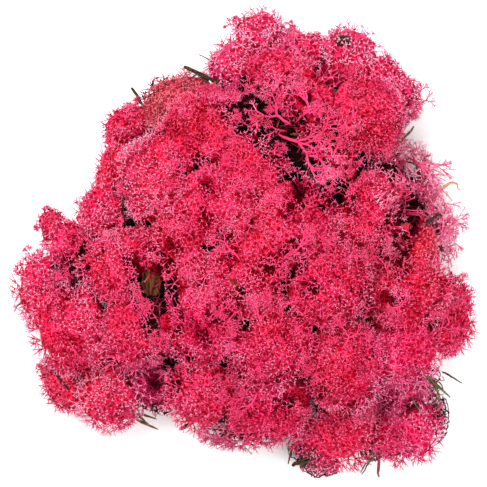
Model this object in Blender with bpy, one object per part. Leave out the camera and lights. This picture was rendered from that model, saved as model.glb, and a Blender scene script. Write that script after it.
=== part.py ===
"""Reindeer moss clump: a hand-sized piece of dyed cushion lichen as it is lifted from a bag.

The clump is a low mat of old, dark stems with many rounded moss heads grown on it, and the litter
that was picked up with it: sticks, spruce needles, a bark flake and a bark crumb. Each head, the
mat and each scrap of litter is an object of its own. Lengths in the tables are millimetres.
The origin is on the flat spot that the clump rests on, and +Z points up.
"""

import math
from dataclasses import dataclass

import bmesh
import bpy
import numpy as np
from mathutils import Matrix, Vector, noise

MM = 0.001
MERGE = 1e-6
RUNNING_GAP = 0.4
FLOOR_GAP = 0.5
SEED = 20
SEEDS_A_STEP = 10
PARALLEL = 1e-9
PLACE_DIGITS = 3

# A moss head: its lumpy core fills this share of its reach, and its branchlets the rest. A head's
# own number turns its core about the spin axis and shifts its lumps.
CORE_SHARE = 0.74
CORE_DETAIL = 2
LUMP_DEPTH = 0.10
LUMP_SIZE = 1.5
LUMP_SHIFT = 2.3
LUMP_LEVEL = 0.7
SPIN_AXIS = (0.3, 0.5, 0.8)

# Round its middle and below it, a head widens until it meets its neighbours and the mat, if they
# are near: within its reach at FOOT_LEVEL, and within FOOT_REACH times as far straight down.
FOOT_LEVEL = 0.15
FOOT_REACH = 1.25
FOOT_SLOPE = 2.0

# A branchlet: a stem that narrows to NECK_SHARE of its root and forks into three tips.
STEM_SHARE = 0.62
NECK_SHARE = 0.22
TIP_SPREAD = 1.4
TIP_MARGIN = 0.6
TIP_LEAN = 0.16
FACE_PULL = 0.6
LEAST_BRANCHLET = 1.6
BRANCHLET_LENGTHS = (0.92, 1.08)
BRANCHLET_LUCK = (0.6, 1.0)
TIP_SIDES = (0.8, 1.15)
TIP_LENGTHS = (0.8, 1.0)

# A spike is a low branchlet with no stem, on the open faces that are left.
SPIKE_SHARE = 0.45
LEAST_SPIKE = 0.6
SPIKE_HEIGHTS = (0.7, 1.3)

# Branchlets keep this far from the sides of the litter.
LITTER_ROOM = 1.3

# The mat of old stems under the heads. The heads' feet stand on its seat, a little under its top.
MAT_CENTRE = (0.0, 5.0, 11.0)
MAT_REACH = (62.0, 70.0, 14.5)
MAT_CORE_SHARE = 0.92
MAT_SEAT_SHARE = 0.84
MAT_DETAIL = 3
MAT_BRANCHLETS = 26

# The bark flake is a curled oval scale, and the bark crumb a squashed lump.
FLAKE_PLACE = Vector((-36.2, -7.3, 34.4))
FLAKE_HALF = Vector((3.5, 4.8, 0.0))
FLAKE_THICKNESS = 0.6
FLAKE_CURL = 1.1
FLAKE_SAG = 0.45
FLAKE_NARROWING = 0.7
FLAKE_TILT = math.radians(14)
FLAKE_COLUMNS = 4
FLAKE_ROWS = 5
CRUMB_PLACE = Vector((32.8, 79.6, 29.3))
CRUMB_HALF = Vector((3.1, 2.1, 2.0))
CRUMB_DENTS = 0.25
CRUMB_DENT_SIZE = 2.2
CRUMB_DETAIL = 2


@dataclass(frozen=True)
class Head:
    """A moss head as an ellipsoid: its middle and half sizes, its turn about +Z in degrees,
    its colour, and how many forked branchlets stand out of it."""

    name: str
    middle: tuple
    reach: tuple
    branchlets: int
    colour: str = "rose"
    turn: float = 0.0


@dataclass(frozen=True)
class Rod:
    """A bent rod: the points of its middle line and its radius at each of them."""

    points: tuple
    radii: tuple

    def lines(self):
        """The straight stretches of the middle line."""
        places = [Vector(place) for place in self.points]
        return list(zip(places[:-1], places[1:]))


@dataclass(frozen=True)
class Litter:
    """A stick, stem or bunch of needles: a main rod and the rods that fork from it."""

    name: str
    colour: str
    sides: int
    rods: tuple


HEADS = (
    # The lobe at the back right, from its crest round to its open right edge.
    Head("head_crest", (3, 85, 18), (10, 10, 14), 12),
    Head("head_crest_left", (-6, 73, 19), (11, 12, 15), 12),
    Head("head_back_middle", (11, 68, 27), (14, 14, 18), 15),
    Head("head_back_notch", (21, 78, 18), (11, 9.5, 14), 10),
    Head("head_back_right", (34, 75, 19), (12.5, 12.5, 15), 13),
    Head("head_back_shoulder", (50, 65, 18), (12, 16, 15), 15, "rose", 30),
    Head("head_back_dome", (41, 53, 31), (16.5, 16.5, 19), 20),
    Head("head_back_open", (24, 56, 31), (14.5, 14.5, 18), 15),
    Head("head_back_fan", (30, 36, 28), (14, 13.5, 18), 15),
    Head("head_right_hollow", (50, 38, 20), (14, 14, 16), 11, "mauve"),
    Head("head_right_fringe", (62, 30, 12), (10.5, 14, 12), 13, "mauve"),
    Head("head_right_trail", (68, 10, 12), (9.5, 15, 12), 13, "mauve"),
    Head("head_right_dome", (43, 18, 30), (17, 16, 18), 20),
    Head("head_right_button", (58, 6, 23), (11, 11, 17), 14, "crimson"),
    # The high cushion in the middle.
    Head("head_middle_back", (-18, 45, 37), (18, 17, 18), 20),
    Head("head_middle_brink", (0, 34, 38), (16, 16, 18), 17),
    Head("head_middle_left", (-33, 30, 32), (17, 17, 17), 17),
    Head("head_summit_back", (-12, 20, 42), (18, 17, 18), 19),
    Head("head_summit_right", (14, 14, 41), (18.5, 18.5, 18), 20),
    Head("head_middle_west", (-25, 3, 36), (17, 18.5, 18), 18),
    Head("head_summit", (-1, -4, 43), (18.5, 18.5, 18), 20),
    Head("head_middle_east", (26, -8, 39), (19, 18.5, 18), 20),
    Head("head_east_dome", (56, -11, 28), (17.5, 16.5, 16), 19),
    Head("head_east_edge", (73, -21, 15), (12, 17, 14.5), 16),
    Head("head_middle_south_west", (-17, -21, 37), (18.5, 18.5, 18), 19),
    Head("head_middle_south", (7, -29, 37), (18.5, 18.5, 18), 19),
    Head("head_south_east_dome", (33, -37, 31), (18.5, 18, 18), 20),
    Head("head_east_slope", (55, -32, 23), (16, 15.5, 17), 16),
    Head("head_south_west_slope", (-19, -46, 25), (16.5, 17, 16), 17),
    Head("head_south_dome", (6, -51, 26), (18.5, 17, 16), 19),
    Head("head_south_east_edge", (30, -60, 17), (17.5, 16, 15.5), 16),
    Head("head_corner", (56, -62, 13), (15.5, 14, 12.5), 14),
    Head("head_corner_hollow", (56, -46, 16), (16.5, 13, 14), 11, "mauve"),
    Head("head_south_skirt", (-5, -63, 12), (15, 11.5, 12), 11, "mauve"),
    # The lobe on the left.
    Head("head_left_outlier", (-74, 14, 11), (6.5, 6.5, 9), 7),
    Head("head_left_back", (-55, 19, 18), (12, 11.5, 16), 13),
    Head("head_left_shoulder", (-49, 35, 18), (12, 13, 15), 12),
    Head("head_left_knob", (-46, 49, 15), (10.5, 10, 14), 12),
    Head("head_left_faded", (-28, 58.5, 17), (15.5, 13, 14.5), 14, "faded"),
    Head("head_left_ridge", (-66, 5, 16), (12.5, 11, 15), 12),
    Head("head_left_tip", (-76, -9, 13), (14, 15, 12.5), 15),
    Head("head_left_dome", (-48, -3, 27), (17, 16, 17), 18),
    Head("head_left_front_dome", (-64, -25, 22), (18, 18, 17), 19),
    Head("head_left_inner_dome", (-44, -25, 25), (16, 17, 17), 16),
    Head("head_left_foot", (-68, -45, 12), (12, 12.5, 12), 13),
    Head("head_left_front", (-53, -48, 15), (15, 16.5, 14), 16),
    Head("head_left_hollow", (-36, -43, 16), (15, 15, 14), 9, "mauve"),
)

LITTER = (
    Litter("stick_back", "bark", 6, (
        Rod(((-24.5, 70.5, 25), (-14, 65.3, 26.5), (-3, 60, 25), (7, 55, 17)), (0.8, 0.75, 0.7, 0.6)),
        Rod(((-17.5, 67, 26.1), (-14.4, 61, 27.5)), (0.55, 0.45)),
    )),
    Litter("twig_right", "bark", 6, (
        Rod(((50, 39, 29.5), (53.3, 43.6, 34.5), (56.5, 46.5, 33.5), (58, 48.8, 32)), (0.6, 0.6, 0.5, 0.4)),
        Rod(((52.6, 42.6, 33.6), (52.3, 47, 39)), (0.45, 0.35)),
    )),
    Litter("stick_front", "bark", 6, (
        Rod(((-26.5, -61.2, 9), (-22, -58.8, 11.5), (-14, -52.5, 17)), (0.8, 0.75, 0.6)),
    )),
    Litter("stem_left", "bark", 6, (
        Rod(((-72.8, -37, 24), (-69.5, -41.5, 23.5), (-66.5, -45.5, 22), (-65, -48, 19)),
            (0.5, 0.5, 0.45, 0.4)),
    )),
    Litter("stem_inner_left", "bark", 6, (
        Rod(((-43.5, 29.5, 36.5), (-46, 24, 36.5), (-46.2, 18, 34.5), (-45, 12.5, 30.5)),
            (0.5, 0.45, 0.45, 0.4)),
    )),
    Litter("grass_stem", "needle", 6, (
        Rod(((13.5, 45.7, 36), (22, 44.9, 36.5), (30, 43.9, 35.5), (36, 43, 34)), (0.6, 0.65, 0.65, 0.6)),
    )),
    Litter("needles_summit", "needle", 4, (
        Rod(((-9, -3.5, 58), (-6, -9.5, 57), (-4, -13.5, 51.5)), (0.25, 0.6, 0.5)),
        Rod(((-5.5, -5, 58.6), (-6, -9.5, 57), (-6.4, -12.5, 54)), (0.25, 0.55, 0.4)),
    )),
    Litter("needles_front_left", "needle", 4, (
        Rod(((-47, -54, 15), (-40, -58.5, 11), (-34, -61.3, 8)), (0.5, 0.6, 0.25)),
        Rod(((-44.5, -55.6, 13.6), (-40, -55.4, 12.5), (-34.6, -57.4, 10)), (0.4, 0.55, 0.25)),
    )),
    Litter("needle_front", "needle", 4, (
        Rod(((19, -62, 15), (14.8, -66.5, 10), (13.2, -74.3, 5)), (0.5, 0.65, 0.25)),
    )),
    Litter("needles_corner", "needle", 4, (
        Rod(((58, -36.5, 31.5), (65, -43, 29), (71.5, -48.8, 25)), (0.5, 0.65, 0.25)),
        Rod(((64.6, -42.6, 29.1), (66.8, -46.5, 27), (67.8, -50.8, 24)), (0.4, 0.55, 0.25)),
    )),
)


def clear_scene():
    """Removes every object of the scene that the file opened with."""
    for obj in list(bpy.data.objects):
        bpy.data.objects.remove(obj, do_unlink=True)


def make_collection(name, hidden=False):
    """A collection linked to the scene. A hidden one holds cutters."""
    collection = bpy.data.collections.new(name)
    collection.hide_render = hidden
    bpy.context.scene.collection.children.link(collection)
    return collection


def make_material(name, colour, roughness):
    """A plain Principled material."""
    material = bpy.data.materials.new(name)
    material.use_nodes = True
    shader = material.node_tree.nodes["Principled BSDF"]
    shader.inputs["Base Color"].default_value = (*colour, 1.0)
    shader.inputs["Roughness"].default_value = roughness
    shader.inputs["Metallic"].default_value = 0.0
    return material


def make_materials():
    """One material for each colour that the tables name."""
    return {
        "rose": make_material("moss_rose", (0.72, 0.05, 0.13), 0.85),
        "crimson": make_material("moss_crimson", (0.62, 0.03, 0.08), 0.85),
        "mauve": make_material("moss_mauve", (0.48, 0.05, 0.14), 0.88),
        "faded": make_material("moss_faded", (0.42, 0.10, 0.10), 0.90),
        "litter": make_material("old_stems", (0.035, 0.018, 0.014), 0.95),
        "bark": make_material("bark", (0.075, 0.05, 0.028), 0.90),
        "needle": make_material("dry_needle", (0.16, 0.065, 0.02), 0.70),
    }


class Ellipsoid:
    """The space that a head or the mat would fill if it had no neighbours."""

    def __init__(self, middle, reach, turn=0.0):
        self.middle = Vector(middle)
        self.reach = Vector(reach)
        self.turned = Matrix.Rotation(math.radians(turn), 3, "Z")

    def radius(self, direction):
        """The distance from the middle to the surface along a unit direction."""
        local = self.turned.transposed() @ direction
        return 1.0 / math.sqrt(sum((local[i] / self.reach[i]) ** 2 for i in range(3)))

    def normal(self, direction):
        """The outward normal where that direction meets the surface."""
        local = self.turned.transposed() @ direction
        slope = Vector([local[i] / self.reach[i] ** 2 for i in range(3)])
        return (self.turned @ slope).normalized()


@dataclass(frozen=True)
class Wall:
    """A plane that a node stays behind: points with normal . point <= offset are inside."""

    normal: Vector
    offset: float

    def room(self, start, step):
        """The largest share of a step from a point that stays behind the plane."""
        across = self.normal.dot(step)
        if across <= PARALLEL:
            return math.inf
        return max(0.0, (self.offset - self.normal.dot(start)) / across)


def wall_between(first, second):
    """Two walls that share two ellipsoids' overlap in halves, with the running gap between them."""
    between = second.middle - first.middle
    direction = between.normalized()
    overlap = first.radius(direction) + second.radius(-direction) - between.length
    shared = first.middle + direction * (first.radius(direction) - overlap / 2)
    level = direction.dot(shared)
    return Wall(direction, level - RUNNING_GAP / 2), Wall(-direction, -level - RUNNING_GAP / 2)


def wall_on_mat(mat, head):
    """Two walls on the plane that touches the mat's seat where it faces the head."""
    direction = (head.middle - mat.middle).normalized()
    normal = mat.normal(direction)
    level = normal.dot(mat.middle + direction * mat.radius(direction) * MAT_SEAT_SHARE)
    return Wall(normal, level - RUNNING_GAP / 2), Wall(-normal, -level - RUNNING_GAP / 2)


def cells(heads, mat):
    """The walls of each head, and those of the mat, whose underside is flat on the floor."""
    down = Vector((0, 0, -1))
    walls = [[Wall(down, -FLOOR_GAP)] for _ in heads]
    mat_walls = [Wall(down, 0.0)]
    for i, head in enumerate(heads):
        under, over = wall_on_mat(mat, head)
        mat_walls.append(under)
        walls[i].append(over)
        for j in range(i + 1, len(heads)):
            between = (heads[j].middle - head.middle).length
            if between > head.reach.length + heads[j].reach.length:
                continue
            ours, theirs = wall_between(head, heads[j])
            walls[i].append(ours)
            walls[j].append(theirs)
    return walls, mat_walls


def within(walls, start, step, margin=0.0):
    """The share of a step that stays behind every wall, at most 1."""
    share = 1.0
    for wall in walls:
        share = min(share, Wall(wall.normal, wall.offset - margin).room(start, step))
    return share


@dataclass(frozen=True)
class Kept:
    """Space that branchlets keep out of: all within a distance of a straight line."""

    start: Vector
    end: Vector
    distance: float

    def holds(self, point):
        """True if a point is in this space."""
        along = self.end - self.start
        share = max(0.0, min(1.0, (point - self.start).dot(along) / along.length_squared))
        return (point - self.start - along * share).length < self.distance


def kept_for_litter():
    """The space round every rod, the flake and the crumb."""
    kept = []
    for item in LITTER:
        for rod in item.rods:
            width = max(rod.radii) + LITTER_ROOM
            kept += [Kept(start, end, width) for start, end in rod.lines()]
    along = Vector((0, FLAKE_HALF.y / 2, 0))
    kept.append(Kept(FLAKE_PLACE - along, FLAKE_PLACE + along, FLAKE_HALF.x + LITTER_ROOM))
    along = Vector((CRUMB_HALF.x / 2, 0, 0))
    kept.append(Kept(CRUMB_PLACE - along, CRUMB_PLACE + along, CRUMB_HALF.y + LITTER_ROOM))
    return kept


def blocked(start, end, kept):
    """True if a branchlet from start to end would come into kept space."""
    points = [start, start.lerp(end, 0.5), end]
    return any(space.holds(point) for point in points for space in kept)


@dataclass
class Branchlet:
    """A forked branchlet planned on one face of a core: a stem and its tips."""

    face_middle: Vector
    stem: Vector
    outward: Vector
    share: float

    @property
    def length(self):
        """How far it stands out of the core."""
        return self.stem.length * self.share / STEM_SHARE


def place_key(place):
    """A place rounded, so that a face can be found again by its middle."""
    return tuple(round(x, PLACE_DIGITS) for x in place)


class Growth:
    """A head or the mat as it grows inside its walls: a lumpy core, then branchlets and spikes."""

    def __init__(self, space, walls, kept, core_share, number):
        self.space = space
        self.walls = walls
        self.kept = kept
        self.core_share = core_share
        self.number = number
        self.rng = np.random.default_rng(SEED + int(number * SEEDS_A_STEP))

    def lump(self, direction):
        """A share between about 1 - LUMP_DEPTH and 1 that gives a core its soft lumps."""
        shift = Vector((self.number, LUMP_SHIFT * self.number, LUMP_LEVEL))
        swell = noise.noise(direction * LUMP_SIZE + shift)
        return 1.0 - LUMP_DEPTH * (0.5 - swell)

    def foot_reach(self, direction):
        """How many times its reach it may stretch along a direction to meet a wall there."""
        below = max(0.0, FOOT_LEVEL - direction.z)
        return 1.0 + (FOOT_REACH - 1.0) * min(1.0, FOOT_SLOPE * below)

    def core(self, subdivisions):
        """A lumpy core: a ball whose corners move out along their rays to the share of the reach
        that is wanted, or to the nearest wall. Its foot goes on to the wall itself."""
        middle = self.space.middle
        bm = bmesh.new()
        bmesh.ops.create_icosphere(bm, subdivisions=subdivisions, radius=1.0)
        spin = Matrix.Rotation(self.number, 3, Vector(SPIN_AXIS).normalized())
        for vert in bm.verts:
            direction = (spin @ vert.co).normalized()
            reach = direction * self.space.radius(direction)
            foot = reach * self.foot_reach(direction)
            to_wall = within(self.walls, middle, foot)
            step = reach * self.core_share * self.lump(direction)
            if direction.z < FOOT_LEVEL and to_wall < 1.0:
                vert.co = middle + foot * to_wall
            else:
                vert.co = middle + step * within(self.walls, middle, step)
        return bm

    def plan(self, face):
        """The branchlet that a face has room for, or None."""
        middle = face.calc_center_median()
        direction = (middle - self.space.middle).normalized()
        outward = (direction + face.normal * FACE_PULL).normalized()
        outward = (outward + Vector(self.rng.normal(0.0, TIP_LEAN, 3))).normalized()
        edge = self.space.middle + direction * self.space.radius(direction)
        length = (edge - middle).length * self.rng.uniform(*BRANCHLET_LENGTHS)
        reach = outward * length
        side = outward.orthogonal().normalized() * TIP_SPREAD
        fan = [side, outward.cross(side), -side, -outward.cross(side)]
        share = min(within(self.walls, middle, reach + spread, TIP_MARGIN) for spread in fan)
        if share * length < LEAST_BRANCHLET:
            return None
        if blocked(middle, middle + reach * share, self.kept):
            return None
        return Branchlet(middle, reach * STEM_SHARE, outward, share)

    def grow(self, bm, planned):
        """Draws each planned face out into a stem and ends it in a crown of three tips."""
        by_place = {place_key(plan.face_middle): plan for plan in planned}
        faces = [face for face in bm.faces if place_key(face.calc_center_median()) in by_place]
        for cap in bmesh.ops.extrude_discrete_faces(bm, faces=faces)["faces"]:
            middle = cap.calc_center_median()
            plan = by_place[place_key(middle)]
            end = middle + plan.stem * plan.share
            for vert in cap.verts:
                vert.co = end + (vert.co - middle) * NECK_SHARE
            self.crown(bm, cap, end, plan)

    def crown(self, bm, cap, end, plan):
        """Splits a stem's end in three and raises the middle of each part into a tip."""
        parts = bmesh.ops.poke(bm, faces=[cap])["faces"]
        for tip in bmesh.ops.poke(bm, faces=parts)["verts"]:
            sideways = (tip.co - end).normalized() * TIP_SPREAD * self.rng.uniform(*TIP_SIDES)
            forward = plan.outward * plan.stem.length * (1 - STEM_SHARE) / STEM_SHARE
            tip.co = end + (forward * self.rng.uniform(*TIP_LENGTHS) + sideways) * plan.share

    def raise_spikes(self, bm, faces):
        """Gives the open faces between the branchlets a low spike each."""
        for face in faces:
            middle = face.calc_center_median()
            direction = (middle - self.space.middle).normalized()
            height = self.space.radius(direction) * (1 - self.core_share) * SPIKE_SHARE
            step = face.normal * (height * self.rng.uniform(*SPIKE_HEIGHTS))
            step *= within(self.walls, middle, step, TIP_MARGIN / 2)
            if step.length < LEAST_SPIKE or blocked(middle, middle + step, self.kept):
                continue
            bmesh.ops.poke(bm, faces=[face])["verts"][0].co = middle + step

    def mesh(self, branchlets, subdivisions):
        """The core with branchlets on its most open faces and low spikes on the other open ones."""
        bm = self.core(subdivisions)
        bm.normal_update()
        found = []
        for face in bm.faces:
            plan = self.plan(face)
            if plan is not None:
                found.append((plan.length * self.rng.uniform(*BRANCHLET_LUCK), face, plan))
        found.sort(key=lambda entry: -entry[0])
        chosen = [plan for _, _, plan in found[:branchlets]]
        self.raise_spikes(bm, [face for _, face, _ in found[branchlets:]])
        self.grow(bm, chosen)
        bmesh.ops.recalc_face_normals(bm, faces=bm.faces)
        return bm


def add_object(name, bm, collection, material=None):
    """Turns a bmesh in millimetres into a named object in metres."""
    bmesh.ops.scale(bm, vec=(MM, MM, MM), verts=bm.verts)
    mesh = bpy.data.meshes.new(name)
    bm.to_mesh(mesh)
    bm.free()
    obj = bpy.data.objects.new(name, mesh)
    if material is not None:
        mesh.materials.append(material)
    collection.objects.link(obj)
    return obj


def rod_mesh(rod, sides, extra=0.0):
    """A closed mesh round a rod's middle line. extra fattens it into a cutter."""
    curve = bpy.data.curves.new("rod", "CURVE")
    curve.dimensions = "3D"
    curve.bevel_depth = MM
    curve.bevel_resolution = (sides - 4) // 2
    curve.use_fill_caps = True
    line = curve.splines.new("POLY")
    line.points.add(len(rod.points) - 1)
    for point, place, radius in zip(line.points, rod.points, rod.radii):
        point.co = (*(Vector(place) * MM), 1.0)
        point.radius = radius + extra
    holder = bpy.data.objects.new("rod", curve)
    bpy.context.scene.collection.objects.link(holder)
    graph = bpy.context.evaluated_depsgraph_get()
    mesh = bpy.data.meshes.new_from_object(holder.evaluated_get(graph))
    bpy.data.objects.remove(holder, do_unlink=True)
    bm = bmesh.new()
    bm.from_mesh(mesh)
    bmesh.ops.remove_doubles(bm, verts=bm.verts, dist=MERGE)
    bmesh.ops.recalc_face_normals(bm, faces=bm.faces)
    bm.to_mesh(mesh)
    bm.free()
    return mesh


def link_mesh(name, mesh, collection, material=None):
    """A new object that shows a mesh."""
    obj = bpy.data.objects.new(name, mesh)
    if material is not None:
        mesh.materials.clear()
        mesh.materials.append(material)
    collection.objects.link(obj)
    return obj


def hide_as_cutter(obj):
    """Keeps a cutter out of renders and shows it as wires."""
    obj.hide_render = True
    obj.display_type = "WIRE"


def combine(obj, other, operation):
    """Adds a Boolean of another object to an object."""
    modifier = obj.modifiers.new(operation.lower() + "_" + other.name, "BOOLEAN")
    modifier.operation = operation
    modifier.object = other


def make_litter(item, collection, cutting, material):
    """A main rod with its forks fused to it, and a cutter round each rod."""
    cutters = []
    main_rod = link_mesh(item.name, rod_mesh(item.rods[0], item.sides), collection, material)
    for number, rod in enumerate(item.rods):
        cutter = link_mesh(f"room_{item.name}_{number}", rod_mesh(rod, item.sides, RUNNING_GAP), cutting)
        hide_as_cutter(cutter)
        cutters.append(cutter)
        if number > 0:
            fork = link_mesh(f"fork_{item.name}_{number}", rod_mesh(rod, item.sides), cutting)
            hide_as_cutter(fork)
            combine(main_rod, fork, "UNION")
    return cutters


def flake_mesh(thickness, margin):
    """A curled oval scale: a grid whose rows narrow to its ends and whose sides bend up."""
    bm = bmesh.new()
    bmesh.ops.create_grid(bm, x_segments=FLAKE_COLUMNS, y_segments=FLAKE_ROWS, size=1.0)
    half_width, half_length = FLAKE_HALF.x + margin, FLAKE_HALF.y + margin
    for vert in bm.verts:
        across, along = vert.co.x, vert.co.y
        narrowed = across * math.sqrt(1.0 - FLAKE_NARROWING * along * along)
        rise = FLAKE_CURL * across * across - FLAKE_SAG * along
        vert.co = Vector((narrowed * half_width, along * half_length, rise))
    bmesh.ops.solidify(bm, geom=bm.faces[:], thickness=thickness)
    lift = Vector((0, 0, thickness / 2 - FLAKE_THICKNESS / 2))
    bmesh.ops.translate(bm, vec=lift, verts=bm.verts)
    turned = Matrix.Translation(FLAKE_PLACE) @ Matrix.Rotation(FLAKE_TILT, 4, "Y")
    bmesh.ops.transform(bm, matrix=turned, verts=bm.verts)
    bmesh.ops.recalc_face_normals(bm, faces=bm.faces)
    return bm


def crumb_mesh(margin):
    """A squashed, lumpy ball."""
    bm = bmesh.new()
    bmesh.ops.create_icosphere(bm, subdivisions=CRUMB_DETAIL, radius=1.0)
    for vert in bm.verts:
        direction = vert.co.normalized()
        swell = 1.0 - CRUMB_DENTS * abs(noise.noise(direction * CRUMB_DENT_SIZE))
        half = CRUMB_HALF * swell + Vector((margin, margin, margin))
        vert.co = CRUMB_PLACE + Vector([direction[i] * half[i] for i in range(3)])
    return bm


def cut_rooms(obj, cutters):
    """Cuts a plain hole in an object for each scrap of litter that reaches into it."""
    corners = [Vector(corner) for corner in obj.bound_box]
    low = Vector([min(corner[i] for corner in corners) for i in range(3)])
    high = Vector([max(corner[i] for corner in corners) for i in range(3)])
    for cutter in cutters:
        ends = [Vector(corner) for corner in cutter.bound_box]
        apart = any(
            min(end[i] for end in ends) > high[i] or max(end[i] for end in ends) < low[i] for i in range(3)
        )
        if not apart:
            combine(obj, cutter, "DIFFERENCE")


def make_all_litter(collection, cutting, materials):
    """Every scrap of litter. Returns the cutters that make room for them."""
    cutters = []
    for item in LITTER:
        cutters += make_litter(item, collection, cutting, materials[item.colour])
    add_object("bark_flake", flake_mesh(FLAKE_THICKNESS, 0.0), collection, materials["bark"])
    add_object("bark_crumb", crumb_mesh(0.0), collection, materials["bark"])
    flake_room = flake_mesh(FLAKE_THICKNESS + 2 * RUNNING_GAP, RUNNING_GAP)
    cutters.append(add_object("room_bark_flake", flake_room, cutting))
    cutters.append(add_object("room_bark_crumb", crumb_mesh(RUNNING_GAP), cutting))
    for cutter in cutters[-2:]:
        hide_as_cutter(cutter)
    return cutters


def main():
    """Builds the litter, the heads and the mat."""
    clear_scene()
    clump = make_collection("reindeer_moss_clump")
    cutting = make_collection("cutters", hidden=True)
    materials = make_materials()
    mat = Ellipsoid(MAT_CENTRE, MAT_REACH)
    spaces = [Ellipsoid(head.middle, head.reach, head.turn) for head in HEADS]
    walls, mat_walls = cells(spaces, mat)
    kept = kept_for_litter()
    cutters = make_all_litter(clump, cutting, materials)
    for number, (head, space) in enumerate(zip(HEADS, spaces)):
        growth = Growth(space, walls[number], kept, CORE_SHARE, 1.0 + number)
        obj = add_object(head.name, growth.mesh(head.branchlets, CORE_DETAIL), clump, materials[head.colour])
        cut_rooms(obj, cutters)
    growth = Growth(mat, mat_walls, kept, MAT_CORE_SHARE, 0.0)
    obj = add_object("mat_of_old_stems", growth.mesh(MAT_BRANCHLETS, MAT_DETAIL), clump, materials["litter"])
    cut_rooms(obj, cutters)


if __name__ == "__main__":
    main()
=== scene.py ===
"""The looks of the reindeer moss clump: dyed cushion lichen on a mat of old stems, with its litter.

Each moss head of the frame is replaced by a finely branched one that fills the same rounded form.
A head grows from one root: its branches fork in four again and again, grow thinner, and end in
small stars of pointed tips. Lengths in this script are millimetres until a mesh is made.
"""

import logging
import math
from dataclasses import dataclass, field
from enum import Enum

import bmesh
import bpy
import numpy as np
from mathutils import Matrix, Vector


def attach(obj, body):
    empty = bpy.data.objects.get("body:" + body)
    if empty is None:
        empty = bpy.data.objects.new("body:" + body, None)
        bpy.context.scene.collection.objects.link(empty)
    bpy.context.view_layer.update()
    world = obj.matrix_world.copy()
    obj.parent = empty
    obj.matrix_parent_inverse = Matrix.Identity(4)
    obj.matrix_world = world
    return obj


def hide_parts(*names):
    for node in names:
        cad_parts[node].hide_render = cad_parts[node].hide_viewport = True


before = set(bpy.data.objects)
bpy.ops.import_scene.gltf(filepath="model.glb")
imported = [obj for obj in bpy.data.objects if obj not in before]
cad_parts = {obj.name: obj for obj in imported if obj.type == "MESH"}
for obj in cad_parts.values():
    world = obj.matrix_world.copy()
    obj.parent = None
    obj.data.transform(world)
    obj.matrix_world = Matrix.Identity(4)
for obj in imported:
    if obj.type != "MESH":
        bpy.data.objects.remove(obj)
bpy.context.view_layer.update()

MM = 0.001
SEED = 11
GOLDEN_ANGLE = math.pi * (3.0 - math.sqrt(5.0))
BODY = "root"
MAT_NODE = "mat_of_old_stems"
FLOOR_CLEARANCE = 0.4

# A frame node's form, as a table of its reach.
TILTS = 61
TURNS = 121
FALLOFF = 1.0
POWER = 24.0
INSIDE = 80

# How far forms are drawn in on the clump's outer side: all of them, and more where the photo's
# outline lies further in.
CENTRE = (-2.5, 8.7)
EDGE_DISTANCE = 60.0
INSET = 1.8
LESS_REACH = {
    "head_back_notch": 3.2,
    "head_back_shoulder": 3.6,
    "head_corner_hollow": 2.4,
    "head_crest_left": 1.0,
    "head_east_edge": 1.6,
    "head_left_back": 3.0,
    "head_left_faded": 1.8,
    "head_left_knob": 0.6,
    "head_left_outlier": 0.9,
    "head_left_shoulder": 3.2,
    "head_right_fringe": 2.0,
    "head_right_hollow": 2.0,
    "head_right_trail": 2.2,
    "head_south_skirt": 3.2,
    "head_back_right": -2.2,
    "head_corner": -1.4,
    "head_left_front": -1.0,
    "head_left_front_dome": -1.6,
    "head_left_tip": -0.8,
    "head_south_dome": -0.8,
    "head_south_east_edge": -3.4,
}

Array = np.ndarray
Colour = tuple[float, float, float]
Place = tuple[float, float, float]
Spot = tuple[float, float]
log = logging.getLogger("reindeer_moss")


def unit(vectors: Array) -> Array:
    """Vectors scaled to a length of one."""
    return vectors / np.maximum(np.linalg.norm(vectors, axis=-1, keepdims=True), 1e-9)


def even_directions(count: int) -> Array:
    """Unit directions spread evenly on a sphere.

    Their heights run from top to bottom in equal steps, and each turns on from the last by the
    golden angle.

    Args:
        count: how many directions.

    Returns:
        The directions, one row each.
    """
    step = np.arange(count) + 0.5
    height = 1.0 - 2.0 * step / count
    turn = GOLDEN_ANGLE * step
    ring = np.sqrt(1.0 - height**2)
    return np.stack([ring * np.cos(turn), ring * np.sin(turn), height], axis=1)


@dataclass(frozen=True)
class Ripple:
    """Smooth noise of unit spread: a sum of cosine waves that run in seeded directions."""

    length: float
    seed: int
    waves: int = 20

    def at(self, points: Array) -> Array:
        """The noise at points in millimetres, about -2 to 2.

        Each wave is cos(run . point + phase), and the sum is divided by the root of half their
        number.
        """
        rng = np.random.default_rng(self.seed)
        turns = 2.0 * np.pi / (self.length * rng.uniform(0.7, 1.4, (self.waves, 1)))
        runs = unit(rng.normal(size=(self.waves, 3))) * turns
        phases = rng.uniform(0.0, 2.0 * np.pi, self.waves)
        return np.cos(points @ runs.T + phases).sum(axis=1) / math.sqrt(self.waves / 2.0)


# Noises that the pieces share: a slow swell of the canopy, where stars stand closer together, the
# small pits, how rough the cores and the mat are, and the knots of twigs.
SWELL = Ripple(11.0, SEED)
SWELL_HEIGHT = 0.45
CROWDING = Ripple(9.0, SEED + 3)
PITS = Ripple(3.4, SEED + 1)
CORE_ROUGHNESS = Ripple(2.6, SEED + 2)
BARK_ROUGHNESS = Ripple(3.0, SEED + 6)
KNOTS = Ripple(1.6, SEED + 4)


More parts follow.
